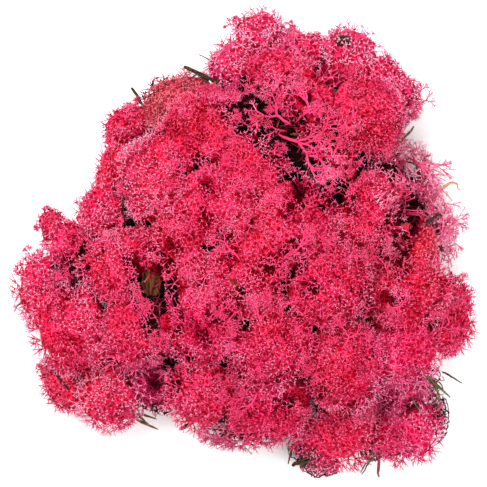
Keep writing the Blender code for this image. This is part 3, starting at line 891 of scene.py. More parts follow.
@dataclass
class MossHead:
    """A head of finely forked branches, grown from one root to stars on its part of the canopy."""

    node: str
    habit: Habit
    number: int
    tint: float = 0.0
    paler: float = 0.0
    thickening: float = 0.215
    candidates: float = 2.4
    inner_spacing: float = 1.25
    outer_spacing: float = 0.7
    underside: float = -0.3
    underside_spacing: float = 2.2
    stars_in_wells: float = 0.45
    deepest: float = 0.7
    twigs_a_fork: float = 3.4
    longest_link: float = 3.6
    lump: float = 8.0
    skin_tone: float = 0.80
    core_shade_tone: float = 0.28
    outer_core: float = 0.14

    @property
    def growth(self) -> Growth:
        """The measures of this head's habit."""
        return GROWTHS[self.habit]

    def rng(self, use: int) -> np.random.Generator:
        """A seeded source of random numbers for one use."""
        return np.random.default_rng([SEED, self.number, use])

    def lumps(self, form: Envelope) -> Lumps:
        """The head's small cushions."""
        return Lumps.of_form(form, self.lump, self.rng(0))

    def swell(self, form: Envelope, places: Array, rays: Array) -> Array:
        """How the skin rises and falls: the canopy's slow swell and the head's own cushions."""
        return SWELL_HEIGHT * SWELL.at(places) + self.lumps(form).relief(rays)

    def stars(self, canopy: Canopy, fronds: list[Frond]) -> Array:
        """The places of the stars: even over the canopy, lumpy, with pits, fewer underneath.

        In the wells some are left out, and the others sink towards the head's middle.

        Args:
            canopy: the forms of all the heads and of the ground.
            fronds: the head's own fronds.

        Returns:
            The places, as rows.
        """
        rng = self.rng(1)
        form = canopy.forms[self.node]
        area = 4.0 * math.pi * float(np.mean(form.reach(even_directions(200)) ** 2))
        rays = even_directions(int(self.candidates * area / self.growth.spacing**2))
        length, counts = canopy.skin(self.node, rays)
        rays, length = rays[counts], length[counts]
        layers = []
        for share in self.growth.layers:
            wider = 1.0 if share == 1.0 else self.inner_spacing
            layers.append(self.layer(form, rays, length * share, wider, rng))
        places = np.concatenate(layers)
        sunk = canopy.sink(places)
        thinned = (sunk < 1.5) | (rng.random(len(places)) < self.stars_in_wells)
        for frond in fronds:
            thinned &= ~frond.bare(places)
        places, sunk = places[thinned], sunk[thinned]
        inward = form.middle - places
        sunk = np.minimum(sunk, self.deepest * np.linalg.norm(inward, axis=1))
        places = places + unit(inward) * sunk[:, None]
        places[:, 2] = np.maximum(places[:, 2], FLOOR_CLEARANCE + 0.3)
        return places

    def layer(
        self, form: Envelope, rays: Array, length: Array, wider: float, rng: np.random.Generator
    ) -> Array:
        """The stars of one layer.

        The spacing is wider in the inner layers, underneath and on the clump's outer side. Each
        star's distance changes by the swell, the pits and a little at random.
        """
        places = form.middle + rays * length[:, None]
        spread = np.clip(0.14 * CROWDING.at(places), -0.25, 0.35)
        spacing = self.growth.spacing * np.exp(spread) * wider
        spacing = np.where(rays[:, 2] < self.underside, spacing * self.underside_spacing, spacing)
        spacing = spacing * (1.0 + self.outer_spacing * form.outward(rays))
        chosen = apart(places, spacing, rng)
        rays, length, places = rays[chosen], length[chosen], places[chosen]
        pits = np.maximum(0.0, PITS.at(places) - 0.9) * self.growth.pit_depth
        length = length + self.swell(form, places, rays) - pits + rng.normal(0.0, 0.25, len(rays))
        return form.middle + rays * length[:, None]

    def root(self, form: Envelope) -> Array:
        """The place that all the branches come from, low inside the head."""
        drop = 0.45 * (form.middle[2] - node_points(self.node)[:, 2].min())
        return form.middle - np.array([0.0, 0.0, drop])

    def fans(self, stars: Array, form: Envelope) -> list[Frond]:
        """Thin bare stems strewn over the upper side, which lead away from the head's middle."""
        rng = self.rng(3)
        rays = unit(stars - form.middle)
        upper = stars[(rays[:, 2] > 0.5) & (form.outward(rays) < 0.35)]
        spots = upper[rng.choice(len(upper), min(self.growth.fans, len(upper)), replace=False)]
        away = np.degrees(np.arctan2(spots[:, 1] - form.middle[1], spots[:, 0] - form.middle[0]))
        headings = away + rng.normal(0.0, 35.0, len(spots))
        size = min(1.0, float(form.table.mean()) / 14.0)
        lengths, radii = rng.uniform(1.8, 3.2, len(spots)) * size, rng.uniform(0.24, 0.36, len(spots))
        return [
            Frond(self.node, (spot[0], spot[1]), heading, length, radius, 0.0, 3, 0.5, 0.56, 0.1, 2.0)
            for spot, heading, length, radius in zip(spots, headings, lengths, radii)
        ]

    def grow(self, canopy: Canopy, stars: Array, relief: Relief, fronds: list[Frond]) -> Surface:
        """Grows the head from its stars down to its root.

        The stars are quartered again and again into groups. A group's fork lies below the middle
        of its stars, by fork_depth times their spread, towards the root. A branch joins a fork
        to the forks of its four quarters, and the finest join the stars.

        Args:
            canopy: the forms of all the heads and of the ground.
            stars: the places of the head's stars.
            relief: the height of all the stars.
            fronds: the head's own fronds.

        Returns:
            The head's surface.
        """
        rng = self.rng(2)
        form = canopy.forms[self.node]
        root = self.root(form)
        surface = Surface()
        halvings = max(2, round(math.log2(len(stars) / self.twigs_a_fork)))
        steps = [1] * (halvings % 2) + [2] * (halvings // 2)
        groups = [np.zeros(len(stars), int)]
        for step in steps:
            groups.append(groups[-1])
            for _ in range(step):
                groups[-1] = halve(stars, groups[-1])
        forks = [root[None]] + [self.forks(stars, number, root, rng) for number in groups[1:]]
        for level, step in enumerate(steps):
            self.add_branches(surface, forks, groups, level, 2**step, form, rng)
        start = forks[-1][groups[-1]]
        radii = self.growth.strand * rng.uniform(0.85, 1.15, (len(stars), 1)) * np.array([1.15, 0.95])
        tones = self.tone(np.stack([start, stars, stars], axis=1), form)
        tones[:, 2] += 0.2
        arm = np.full(len(stars), self.growth.arm)
        crowns(surface, np.stack([start, stars], axis=1), radii, arm, tones, self.tint, rng)
        used = np.bincount(groups[-1], minlength=len(forks[-1])) > 0
        self.add_links(surface, forks[-1][used], form, rng)
        for number, frond in enumerate(fronds + self.fans(stars, form)):
            frond.grow(surface, relief, self.tint, self.rng(10 + number))
        if self.growth.core:
            self.add_core(surface, canopy, form)
        return surface

    def forks(self, stars: Array, number: Array, root: Array, rng: np.random.Generator) -> Array:
        """The fork of each group of stars, below its middle towards the root."""
        count = int(number.max()) + 1
        middles = group_means(stars, number, count)
        offset = stars - middles[number]
        spread = np.sqrt(group_means((offset**2).sum(axis=1)[:, None], number, count))
        inward = root - middles
        far = np.linalg.norm(inward, axis=1, keepdims=True)
        sink = self.growth.fork_depth * spread * rng.uniform(0.75, 1.3, (count, 1)) + 0.35
        places = middles + inward / np.maximum(far, 1e-6) * np.minimum(sink, 0.8 * far)
        return places + rng.normal(0.0, 0.10, places.shape) * spread

    def tone(self, places: Array, form: Envelope) -> Array:
        """The skin's tone, less a share of the depth under the form as painted shade, and paler on the
        clump's outer side, where that shade is halved.
        """
        flat = places.reshape(-1, 3)
        offset = flat - form.middle
        rays = unit(offset)
        inside = form.reach(rays) - np.linalg.norm(offset, axis=1)
        out = form.outward(rays)
        most = self.skin_tone + self.paler + 0.12 * out
        # Painted shade: the tone falls with the depth under the form, half as fast on the clump's outer
        # side.
        tone = most - inside / self.growth.fade * (1.0 - 0.5 * out)
        return np.clip(tone, 0.0, most).reshape(places.shape[:-1])

    def add_branches(
        self,
        surface: Surface,
        forks: list[Array],
        groups: list[Array],
        level: int,
        ways: int,
        form: Envelope,
        rng: np.random.Generator,
    ) -> None:
        """Adds the branches from one level's forks to the next, bowed and tapering."""
        sizes = np.bincount(groups[level + 1], minlength=len(forks[level + 1]))
        child = np.nonzero(sizes)[0]
        parent = child // ways
        above = np.bincount(groups[level], minlength=len(forks[level]))[parent]
        start, end = forks[level][parent], forks[level + 1][child]
        rows, sides = (6, 5) if level < len(forks) - 3 else (2, 3)
        share = np.linspace(0.0, 1.0, rows)[None, :, None]
        length = np.linalg.norm(end - start, axis=1, keepdims=True)
        bow = rng.normal(0.0, 0.10, start.shape) * length
        paths = start[:, None] + (end - start)[:, None] * share + bow[:, None] * 4 * share * (1 - share)
        thick = self.growth.strand * above**self.thickening
        thin = self.growth.strand * sizes[child] ** self.thickening
        radii = thick[:, None] * 0.92 * (1 - share[..., 0]) + thin[:, None] * share[..., 0]
        tints = np.full(len(child), self.tint)
        surface.add_tubes(paths, radii, self.tone(paths, form), tints, sides)

    def add_links(self, surface: Surface, forks: Array, form: Envelope, rng: np.random.Generator) -> None:
        """Adds strands between near forks of the finest level, which weave the branches together.

        Each fork is joined to its second and third nearest, a little above or below its middle.
        """
        flat = forks.astype(np.float32)
        distance = ((flat[:, None] - flat[None]) ** 2).sum(axis=-1)
        order = np.argsort(distance, axis=1)[:, 2:4]
        start, end = np.repeat(forks, 2, axis=0), forks[order.ravel()]
        close = np.linalg.norm(end - start, axis=1) < self.longest_link
        start, end = start[close], end[close]
        shift = rng.normal(0.0, 0.3, start.shape)
        paths = np.stack([start + shift, end - shift], axis=1)
        radii = self.growth.strand * rng.uniform(0.8, 1.2, (len(start), 1)) * np.array([1.0, 0.8])
        surface.add_tubes(paths, radii, self.tone(paths, form), np.full(len(start), self.tint), 3)

    def add_core(self, surface: Surface, canopy: Canopy, form: Envelope) -> None:
        """Adds the dense inside: a rough ball at a share of the head's reach, whose dark tone is partly
        painted shade of the loosely filled inside, darker still in the wells.
        """
        corners, faces = ball(3)
        length, _ = canopy.skin(self.node, corners)
        skin = form.middle + corners * length[:, None]
        sunk = canopy.sink(skin, 1.6) * 1.4
        lumps = self.swell(form, skin, corners)
        rough = 1.0 + 0.04 * CORE_ROUGHNESS.at(skin) - self.outer_core * form.outward(corners)
        inner = np.maximum(length * self.growth.core * rough + lumps - sunk, 0.25 * length)
        places = form.middle + corners * inner[:, None]
        places[:, 2] = np.maximum(places[:, 2], FLOOR_CLEARANCE)
        # Painted shade: the core is dark, and darker where the wells sink it.
        tones = np.clip(self.core_shade_tone - sunk / 6.0, -0.35, self.core_shade_tone)
        weave = np.ones(len(places))
        surface.add(places, [faces], tones, np.full(len(places), self.tint), weave)

    def build(
        self,
        canopy: Canopy,
        stars: Array,
        relief: Relief,
        fronds: list[Frond],
        material: bpy.types.Material,
        slot: str,
    ) -> int:
        """Makes the piece in place of its node.

        Args:
            canopy: the forms of all the heads and of the ground.
            stars: the places of the head's stars.
            relief: the height of all the stars.
            fronds: the head's own fronds.
            material: the material of the head.
            slot: the slot that the material fills; not used.

        Returns:
            How many triangles it has.
        """
        surface = self.grow(canopy, stars, relief, fronds)
        piece = surface.build(self.node.replace("head", "moss"), material)
        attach(piece, BODY)
        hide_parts(self.node)
        return surface.triangles()


FRONDS = (
    Frond("head_back_open", (14.2, 48.4), 138.0, 6.5, 0.66, 0.02, 4, 0.7),
    Frond("head_back_open", (9.4, 45.4), -28.0, 7.5, 0.70, 0.03, 4, 0.55),
    Frond("head_back_open", (15.4, 49.4), 60.0, 5.0, 0.50),
    Frond("head_back_open", (12.6, 46.6), 172.0, 4.0, 0.40, 0.0, 3),
    Frond("head_back_open", (20.5, 52.4), 98.0, 5.0, 0.52),
    Frond("head_back_open", (18.4, 62.3), 115.0, 4.5, 0.62),
    Frond("head_back_fan", (17.6, 38.6), -5.0, 6.0, 0.66, 0.02),
    Frond("head_back_fan", (15.8, 41.0), 20.0, 6.0, 0.52, -0.03),
    Frond("head_back_fan", (23.0, 44.6), 48.0, 4.5, 0.48),
    Frond("head_back_fan", (19.0, 37.5), -62.0, 4.0, 0.45),
    Frond("head_back_fan", (24.5, 38.0), -80.0, 4.0, 0.42),
    Frond("head_back_dome", (33.0, 47.5), 62.0, 4.5, 0.42),
    Frond("head_back_middle", (7.0, 59.0), 60.0, 4.5, 0.50),
    Frond("head_crest_left", (-6.5, 66.0), -98.0, 3.2, 0.36, 0.0, 4, 0.55, 0.6),
    Frond("head_crest_left", (-10.0, 66.5), -85.0, 3.4, 0.36, 0.0, 4, 0.55, 0.55),
    Frond("head_crest_left", (-13.0, 66.0), -105.0, 3.4, 0.34, 0.0, 4, 0.55, 0.55),
    Frond("head_middle_back", (-13.0, 55.0), 98.0, 3.2, 0.36, 0.0, 4, 0.55, 0.6),
    Frond("head_middle_back", (-8.0, 54.0), 80.0, 3.0, 0.36, 0.0, 4, 0.55, 0.6),
    Frond("head_middle_back", (-17.0, 56.0), 84.0, 3.2, 0.34, 0.0, 4, 0.55, 0.5),
    Frond("head_middle_south_west", (-30.5, -27.5), 170.0, 2.2, 0.32, 0.0, 4, 0.6, 0.55),
    Frond("head_left_inner_dome", (-36.0, -29.0), 0.0, 2.6, 0.32, 0.0, 4, 0.6, 0.55),
    Frond("head_back_notch", (17.5, 72.0), 100.0, 4.5, 0.50),
    Frond("head_back_right", (29.5, 72.5), 70.0, 5.0, 0.55),
    Frond("head_summit", (-4.0, 0.4), 115.0, 5.0, 0.45),
    Frond("head_summit_right", (12.6, 2.2), 45.0, 5.0, 0.42),
    Frond("head_middle_south", (3.2, -23.0), 92.0, 4.5, 0.40),
    Frond("head_left_dome", (-61.0, 4.3), 25.0, 5.0, 0.42),
    Frond("head_left_inner_dome", (-46.0, -18.0), 60.0, 4.5, 0.42),
    Frond("head_right_hollow", (52.6, 39.4), -12.0, 8.0, 0.46, -0.090, 4, 0.22, 0.74, 1.6, 2.5, 1),
    Frond("head_right_hollow", (52.8, 37.4), -18.0, 7.5, 0.52, -0.090, 4, 0.20, 0.72, 1.8, 2.5, 1),
    Frond("head_right_hollow", (52.4, 35.6), -26.0, 7.0, 0.48, -0.085, 4, 0.22, 0.70, 1.8, 2.5, 1),
    Frond("head_right_hollow", (51.6, 34.0), -34.0, 6.5, 0.44, -0.080, 4, 0.24, 0.68, 1.6, 2.5, 1),
    Frond("head_right_hollow", (50.8, 32.0), -24.0, 6.5, 0.40, -0.070, 4, 0.30, 0.58, 0.5, 2.0, 2),
    Frond("head_right_fringe", (54.0, 40.4), 12.0, 3.0, 0.34, -0.10, 4, 0.50, 0.76),
    Frond("head_right_fringe", (64.0, 28.0), -60.0, 5.0, 0.36, 0.0, 4, 0.32, 0.75),
    Frond("head_right_trail", (69.0, 22.0), -72.0, 5.0, 0.32, 0.0, 4, 0.35, 0.7),
    Frond("head_right_trail", (67.0, 20.0), -80.0, 5.0, 0.32, 0.0, 4, 0.35, 0.66),
    Frond("head_right_trail", (70.5, 14.0), -76.0, 4.5, 0.32, 0.0, 4, 0.35, 0.7),
    Frond("head_east_dome", (48.6, -7.4), 100.0, 5.0, 0.42),
    Frond("head_east_slope", (51.5, -19.5), 75.0, 4.0, 0.40),
    Frond("head_east_slope", (57.5, -28.6), 22.0, 7.0, 0.50, 0.015, 4, 0.5),
    Frond("head_east_slope", (54.0, -33.0), 215.0, 6.0, 0.48, 0.0, 4, 0.5),
    Frond("head_east_edge", (70.9, -23.8), 92.0, 4.0, 0.40),
    Frond("head_east_edge", (73.2, -22.5), 85.0, 4.0, 0.38),
    Frond("head_south_east_dome", (31.5, -31.0), 55.0, 5.0, 0.42),
    Frond("head_south_east_dome", (40.0, -44.0), -60.0, 4.5, 0.42),
    Frond("head_south_east_edge", (27.0, -53.0), -40.0, 4.5, 0.42),
    Frond("head_south_dome", (2.0, -46.0), -110.0, 4.5, 0.40),
    Frond("head_corner_hollow", (50.0, -38.0), -50.0, 5.5, 0.50),
    Frond("head_corner_hollow", (56.0, -42.0), -35.0, 4.5, 0.42),
    Frond("head_corner", (55.0, -58.0), -70.0, 4.5, 0.40),
)


Socket = bpy.types.NodeSocket
Input = Socket | float | tuple[float, ...]


@dataclass
class Graph:
    """A tree of shader nodes under construction."""

    tree: bpy.types.NodeTree

    def add(self, kind: str, inputs: dict[str | int, Input], **settings: object) -> bpy.types.Node:
        """Adds a node.

        Args:
            kind: its type, without the leading ShaderNode.
            inputs: a value or another node's output for each input, by its name or number.
            settings: its other settings.

        Returns:
            The node.
        """
        node = self.tree.nodes.new("ShaderNode" + kind)
        for name, value in settings.items():
            setattr(node, name, value)
        for name, value in inputs.items():
            if isinstance(value, bpy.types.NodeSocket):
                self.tree.links.new(value, node.inputs[name])
            else:
                node.inputs[name].default_value = value
        return node

    def math(self, operation: str, one: Input, other: Input) -> Socket:
        """The result of one step of arithmetic on two values."""
        return self.add("Math", {0: one, 1: other}, operation=operation).outputs[0]

    def shifted(self, value: Input, noise: Socket, strength: float) -> Socket:
        """A value plus a noise's distance from a half, times a strength."""
        swing = self.math("MULTIPLY", self.math("SUBTRACT", noise, 0.5), strength)
        return self.math("ADD", value, swing)

    def step(
        self, value: Socket, low: float, high: float, start: float = 0.0, end: float = 1.0
    ) -> Socket:
        """A value that goes smoothly from start to end while another goes from low to high."""
        inputs = {"Value": value, "From Min": low, "From Max": high, "To Min": start, "To Max": end}
        return self.add("MapRange", inputs, interpolation_type="SMOOTHSTEP").outputs["Result"]

    def blend(self, share: Input, one: Input, other: Input) -> Socket:
        """The colour that is a share of the way from one colour to another."""
        return self.add("Mix", {0: share, 6: one, 7: other}, data_type="RGBA").outputs[2]

    def noise(self, vector: Socket, scale: Input, detail: float = 2.0) -> Socket:
        """Smooth noise between 0 and 1."""
        return self.add("TexNoise", {"Vector": vector, "Scale": scale, "Detail": detail}).outputs["Fac"]


SURFACE_OUTPUTS = {"Color": "Color", "Roughness": "Float", "Height": "Float"}


def group(name: str, inputs: dict[str, str]) -> tuple[Graph, bpy.types.Node, bpy.types.Node]:
    """A new shader node group that puts out a colour, a roughness and a height.

    Args:
        name: its name.
        inputs: the kind of each input, by its label.

    Returns:
        Its graph, the node of its inputs and the node of its outputs.
    """
    tree = bpy.data.node_groups.new(name, "ShaderNodeTree")
    for label, kind in inputs.items():
        tree.interface.new_socket(label, in_out="INPUT", socket_type="NodeSocket" + kind)
    for label, kind in SURFACE_OUTPUTS.items():
        tree.interface.new_socket(label, in_out="OUTPUT", socket_type="NodeSocket" + kind)
    return Graph(tree), tree.nodes.new("NodeGroupInput"), tree.nodes.new("NodeGroupOutput")


def dressed(
    name: str,
    effect: bpy.types.NodeTree,
    colours: dict[str, Colour],
    inputs: dict[str, float],
    attributes: dict[str, str],
    bump: float,
    specular: float,
) -> bpy.types.Material:
    """A material whose colour, roughness and bump come from a shared group.

    Args:
        name: its name.
        effect: the shared group.
        colours: the group's colours, by their labels.
        inputs: the group's other values, by their labels.
        attributes: the output that each attribute of the mesh gives, by its label in the group.
        bump: the strength of the bump.
        specular: how strongly it reflects.

    Returns:
        The material.
    """
    material = bpy.data.materials.new(name)
    material.use_nodes = True
    graph = Graph(material.node_tree)
    given = {label: (*colour, 1.0) for label, colour in colours.items()} | inputs
    for label, output in attributes.items():
        given[label] = graph.add("Attribute", {}, attribute_name=label.lower()).outputs[output]
    mixed = graph.add("Group", given, node_tree=effect)
    relief = graph.add("Bump", {"Height": mixed.outputs["Height"], "Strength": bump, "Distance": 0.0002})
    shader = material.node_tree.nodes["Principled BSDF"]
    links = material.node_tree.links
    links.new(mixed.outputs["Color"], shader.inputs["Base Color"])
    links.new(mixed.outputs["Roughness"], shader.inputs["Roughness"])
    links.new(relief.outputs["Normal"], shader.inputs["Normal"])
    shader.inputs["Specular IOR Level"].default_value = specular
    return material


@dataclass(frozen=True)
class LichenDyeAndShade:
    """The group that colours dyed lichen, with the painted shade of depth that the tone carries.

    The tone, moved up and down by patches and by a fine mottle, picks a colour between four
    stops. On the dense inside a net of strands is drawn: the edges of irregular cells, lighter
    than the cells. The hue drifts between coral and magenta in patches and with the tint. Scales
    are in waves a metre.
    """

    patch_scale: float = 75.0
    drift_scale: float = 38.0
    mottle_scale: float = 1500.0
    bend_scale: float = 420.0
    bend_size: float = 0.0012
    net_scale: float = 560.0
    patches: float = 0.34
    mottle: float = 0.3
    net: float = 0.32
    drift: float = -0.014
    hue: float = 0.497
    tint: float = 0.005

    def net_of_strands(self, graph: Graph, place: Socket, weave: Socket) -> Socket:
        """1 on the strands of the net and 0 between them, and 0 where there is no weave."""
        bent = graph.add("TexNoise", {"Vector": place, "Scale": self.bend_scale}).outputs["Color"]
        size = (self.bend_size,) * 3
        bent = graph.add("VectorMath", {0: bent, 1: size}, operation="MULTIPLY").outputs[0]
        bent = graph.add("VectorMath", {0: place, 1: bent}, operation="ADD").outputs[0]
        inputs = {"Vector": bent, "Scale": self.net_scale}
        cells = graph.add("TexVoronoi", inputs, feature="DISTANCE_TO_EDGE").outputs["Distance"]
        return graph.math("MULTIPLY", graph.step(cells, 0.03, 0.16, 1.0, 0.0), weave)

    def build(self) -> bpy.types.NodeTree:
        """Makes the group."""
        inputs = {"Tone": "Float", "Tint": "Float", "Weave": "Float"}
        inputs |= {label: "Color" for label in ("Deep", "Flesh", "Skin", "Tips")}
        graph, given, out = group("dyed_lichen_and_shade", inputs)
        place = graph.add("TexCoord", {}).outputs["Object"]
        drift = graph.noise(place, self.drift_scale, 1.0)
        mottle = graph.noise(place, self.mottle_scale)
        strands = self.net_of_strands(graph, place, given.outputs["Weave"])
        tone = graph.shifted(given.outputs["Tone"], graph.noise(place, self.patch_scale), self.patches)
        tone = graph.shifted(tone, mottle, self.mottle)
        tone = graph.math("ADD", tone, graph.math("MULTIPLY", strands, self.net))
        colour = graph.blend(graph.step(tone, 0.0, 0.32), given.outputs["Deep"], given.outputs["Flesh"])
        colour = graph.blend(graph.step(tone, 0.32, 0.74), colour, given.outputs["Skin"])
        colour = graph.blend(graph.step(tone, 0.74, 1.06), colour, given.outputs["Tips"])
        hue = graph.shifted(self.hue, drift, self.drift)
        hue = graph.math("ADD", hue, graph.math("MULTIPLY", given.outputs["Tint"], self.tint))
        colour = graph.add("HueSaturation", {"Hue": hue, "Color": colour}).outputs["Color"]
        links = graph.tree.links
        links.new(colour, out.inputs["Color"])
        links.new(graph.step(mottle, 0.3, 0.7, 0.55, 0.9), out.inputs["Roughness"])
        links.new(graph.math("ADD", mottle, strands), out.inputs["Height"])
        return graph.tree


@dataclass(frozen=True)
class MossFinish:
    """The dyed colours of a head, from deep inside out to the tips; the darker stops also give the painted
    shade of depth.
    """

    slot: str
    deep: Colour
    flesh: Colour
    skin: Colour
    tips: Colour

    def material(self, dye_and_shade: bpy.types.NodeTree) -> bpy.types.Material:
        """The material, with its colours put into the shared group."""
        colours = {"Deep": self.deep, "Flesh": self.flesh, "Skin": self.skin, "Tips": self.tips}
        attributes = {label: "Fac" for label in ("Tone", "Tint", "Weave")}
        return dressed(self.slot, dye_and_shade, colours, {}, attributes, 0.4, 0.03)


@dataclass(frozen=True)
class Strands:
    """How old strands are made: how far their points stray, their radii and their taper."""

    stray: float
    thinnest: float
    thickest: float
    taper: float
    sides: int = 3

    def add(
        self, surface: Surface, paths: Array, tones: tuple[float, float], rng: np.random.Generator
    ) -> None:
        """Adds a strand along each path, above the floor.

        Args:
            surface: where they are added.
            paths: middle lines, as strands by points by 3.
            tones: the darkest and the lightest tone.
            rng: the source of their differences.
        """
        strands, rows, _ = paths.shape
        paths = paths + rng.normal(0.0, self.stray, paths.shape)
        paths[:, :, 2] = np.maximum(paths[:, :, 2], FLOOR_CLEARANCE + 0.4)
        radii = rng.uniform(self.thinnest, self.thickest, (strands, 1)) * np.linspace(1.0, self.taper, rows)
        shades = np.broadcast_to(rng.uniform(*tones, (strands, 1)), radii.shape)
        surface.add_tubes(paths, radii, shades, rng.uniform(-1.0, 1.0, strands), self.sides)


OLD_STRANDS = Strands(0.12, 0.14, 0.42, 0.55)
THATCH_STRANDS = Strands(0.2, 0.22, 0.60, 0.6)


@dataclass(frozen=True)
class Tangle:
    """A thicket of old, dark strands inside an ellipsoid.

    Attributes:
        middle: the middle of the ellipsoid.
        half: half its size along each axis.
        strands: how many strands there are.
        lightest: the tone of the lightest strand.
        steps: how many steps a strand has.
    """

    middle: Place
    half: Place
    strands: int
    lightest: float = 0.6
    steps: int = 6

    def grow(self, surface: Surface, rng: np.random.Generator) -> None:
        """Adds the strands.

        A strand is a walk in equal steps whose run turns a little at random at each. A step that
        would leave the thicket is drawn back to its edge.

        Args:
            surface: where they are added.
            rng: the source of its random draws.
        """
        middle, half = np.array(self.middle), np.array(self.half)
        start = unit(rng.normal(size=(self.strands, 3))) * rng.random((self.strands, 1)) ** 0.5
        paths = [middle + half * start]
        run = unit(rng.normal(size=start.shape) * [1.0, 1.0, 0.6])
        for _ in range(self.steps):
            run = unit(run + rng.normal(0.0, 0.4, run.shape))
            place = (paths[-1] + run * rng.uniform(0.8, 1.9, (self.strands, 1)) - middle) / half
            paths.append(middle + half * place / np.maximum(1.0, np.linalg.norm(place, axis=1))[:, None])
        OLD_STRANDS.add(surface, np.stack(paths, axis=1), (0.0, self.lightest), rng)


# Thickets in the gap at the back, in the cleft on the left, at the right side, in the corner, along
# the lower edge and under a few heads.
TANGLES = (
    Tangle((2.0, 53.0, 26.0), (14.0, 11.0, 9.0), 520, 0.8),
    Tangle((13.5, 41.5, 31.0), (11.0, 11.0, 8.5), 620, 1.0),
    Tangle((-6.0, 66.0, 17.0), (9.0, 6.0, 10.0), 260, 1.0),
    Tangle((21.0, 32.0, 29.0), (7.0, 7.0, 8.0), 240, 1.0),
    Tangle((-33.5, -17.0, 27.0), (5.0, 14.0, 8.5), 420, 1.3),
    Tangle((-34.0, -46.0, 16.0), (8.0, 10.0, 10.0), 170, 0.9),
    Tangle((-28.0, 61.0, 12.0), (14.0, 7.0, 9.0), 170, 0.9),
    Tangle((56.5, 15.0, 13.0), (6.5, 10.0, 10.0), 420, 0.9),
    Tangle((65.0, 10.0, 7.0), (5.0, 11.0, 6.0), 200, 1.5),
    Tangle((48.0, 33.0, 12.0), (8.0, 9.0, 10.0), 300, 1.3),
    Tangle((60.0, 25.0, 9.0), (7.0, 6.0, 7.0), 170, 1.3),
    Tangle((57.0, -44.0, 13.0), (13.0, 9.0, 10.0), 200, 0.8),
    Tangle((68.0, -57.0, 8.0), (4.0, 9.0, 7.0), 80, 0.9),
    Tangle((20.0, -68.0, 6.0), (7.0, 6.0, 5.0), 90, 0.5),
    Tangle((25.0, -74.5, 4.5), (8.0, 4.5, 3.5), 90, 1.6),
    Tangle((-4.0, -60.0, 8.0), (13.0, 8.0, 7.0), 110, 0.8),
    Tangle((44.0, -67.0, 6.0), (5.0, 6.0, 5.5), 80, 0.4),
    Tangle((-62.0, -3.0, 13.0), (10.0, 8.0, 9.0), 160, 1.3),
)


@dataclass(frozen=True)
class OldMat:
    """The mat of old, dark stems that the heads grow from.

    Attributes:
        node: the frame node that it replaces.
        share: the body's reach, as a share of the form's.
        tone: the body's tone, the old stems' own dark colour made black as painted shade of the deep gaps
            between them.
        weave: how strongly a net of strands is drawn on the body.
        thatch: how many strands are spread over the form, of which those on its sides are kept.
        steps: how many steps a strand of the thatch has.
    """

    node: str
    share: float = 0.94
    tone: float = -0.3
    weave: float = 0.5
    thatch: int = 1700
    steps: int = 4

    def add_body(self, surface: Surface, form: Envelope) -> None:
        """Adds the rough dark body: the form drawn in and roughened, less so near the floor; its black is
        partly painted shade of the deep gaps between the old stems.
        """
        corners, faces = ball(5)
        places = form.middle + corners * form.reach(corners)[:, None] * self.share
        rough = np.clip(places[:, 2:] / 3.0, 0.0, 1.0) * corners * BARK_ROUGHNESS.at(places)[:, None]
        places = places + rough * 0.8
        places[:, 2] = np.maximum(places[:, 2], 0.0)
        # Painted shade: the whole body takes one tone below the darkest stop, which renders black.
        tones, net = np.full(len(places), self.tone), np.full(len(places), self.weave)
        surface.add(places, [faces], tones, np.zeros(len(places)), net)

    def add_thatch(self, surface: Surface, form: Envelope, rng: np.random.Generator) -> None:
        """Adds strands that lie on the body's sides.

        A strand is a walk in equal steps over the sides. After each step it is put back at its own
        height, a share of the form's reach in its direction.

        Args:
            surface: where they are added.
            form: the mat's form.
            rng: the source of its random draws.
        """
        rays = even_directions(self.thatch)
        rays = rays[(rays[:, 2] > -0.5) & (rays[:, 2] < 0.42)]
        place = form.middle + rays * form.reach(rays)[:, None]
        height = rng.uniform(0.945, 1.01, (len(rays), 1))
        run = unit(np.cross(rays, rng.normal(size=rays.shape)))
        paths = []
        for _ in range(self.steps + 1):
            rays = unit(place - form.middle)
            paths.append(form.middle + rays * form.reach(rays)[:, None] * height)
            run = unit(run + rng.normal(0.0, 0.45, run.shape))
            place = paths[-1] + run * rng.uniform(1.4, 2.6, (len(rays), 1))
        THATCH_STRANDS.add(surface, np.stack(paths, axis=1), (0.1, 1.15), rng)

    def build(self, form: Envelope, material: bpy.types.Material, slot: str) -> int:
        """Makes the piece in place of its node.

        Args:
            form: the mat's form.
            material: the material of the mat.
            slot: the slot that the material fills; not used.

        Returns:
            How many triangles it has.
        """
        rng = np.random.default_rng(SEED + 5)
        surface = Surface()
        self.add_body(surface, form)
        for tangle in TANGLES:
            tangle.grow(surface, rng)
        self.add_thatch(surface, form, rng)
        piece = surface.build("old_stem_mat", material)
        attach(piece, BODY)
        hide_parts(self.node)
        return surface.triangles()


def grain_of(points: Array) -> Array:
    """Points squeezed along their longest run, in metres, so that noise on them runs as fibres."""
    offset = points - points.mean(axis=0)
    axis = np.linalg.eigh(offset.T @ offset)[1][:, -1]
    return (offset - 0.86 * (offset @ axis)[:, None] * axis) * MM


@dataclass(frozen=True)
class PlantFibre:
    """The group that colours bark and dry needles.

    Noise on the grain makes fibres between the dark and the light colour, and slow noise darkens
    some stretches.
    """

    detail: float = 4.0
    slow_scale: float = 260.0

    def build(self) -> bpy.types.NodeTree:
        """Makes the group."""
        inputs = {"Grain": "Vector", "Fibres": "Float", "Dark": "Color", "Light": "Color"}
        graph, given, out = group("plant_fibre", inputs)
        grain = given.outputs["Grain"]
        fibres = graph.noise(grain, given.outputs["Fibres"], self.detail)
        slow = graph.noise(grain, self.slow_scale)
        shade = graph.step(slow, 0.25, 0.6, 0.45, 1.0)
        share = graph.math("MULTIPLY", graph.step(fibres, 0.34, 0.68), shade)
        colour = graph.blend(share, given.outputs["Dark"], given.outputs["Light"])
        links = graph.tree.links
        links.new(colour, out.inputs["Color"])
        links.new(graph.step(slow, 0.3, 0.7, 0.85, 0.55), out.inputs["Roughness"])
        links.new(fibres, out.inputs["Height"])
        return graph.tree


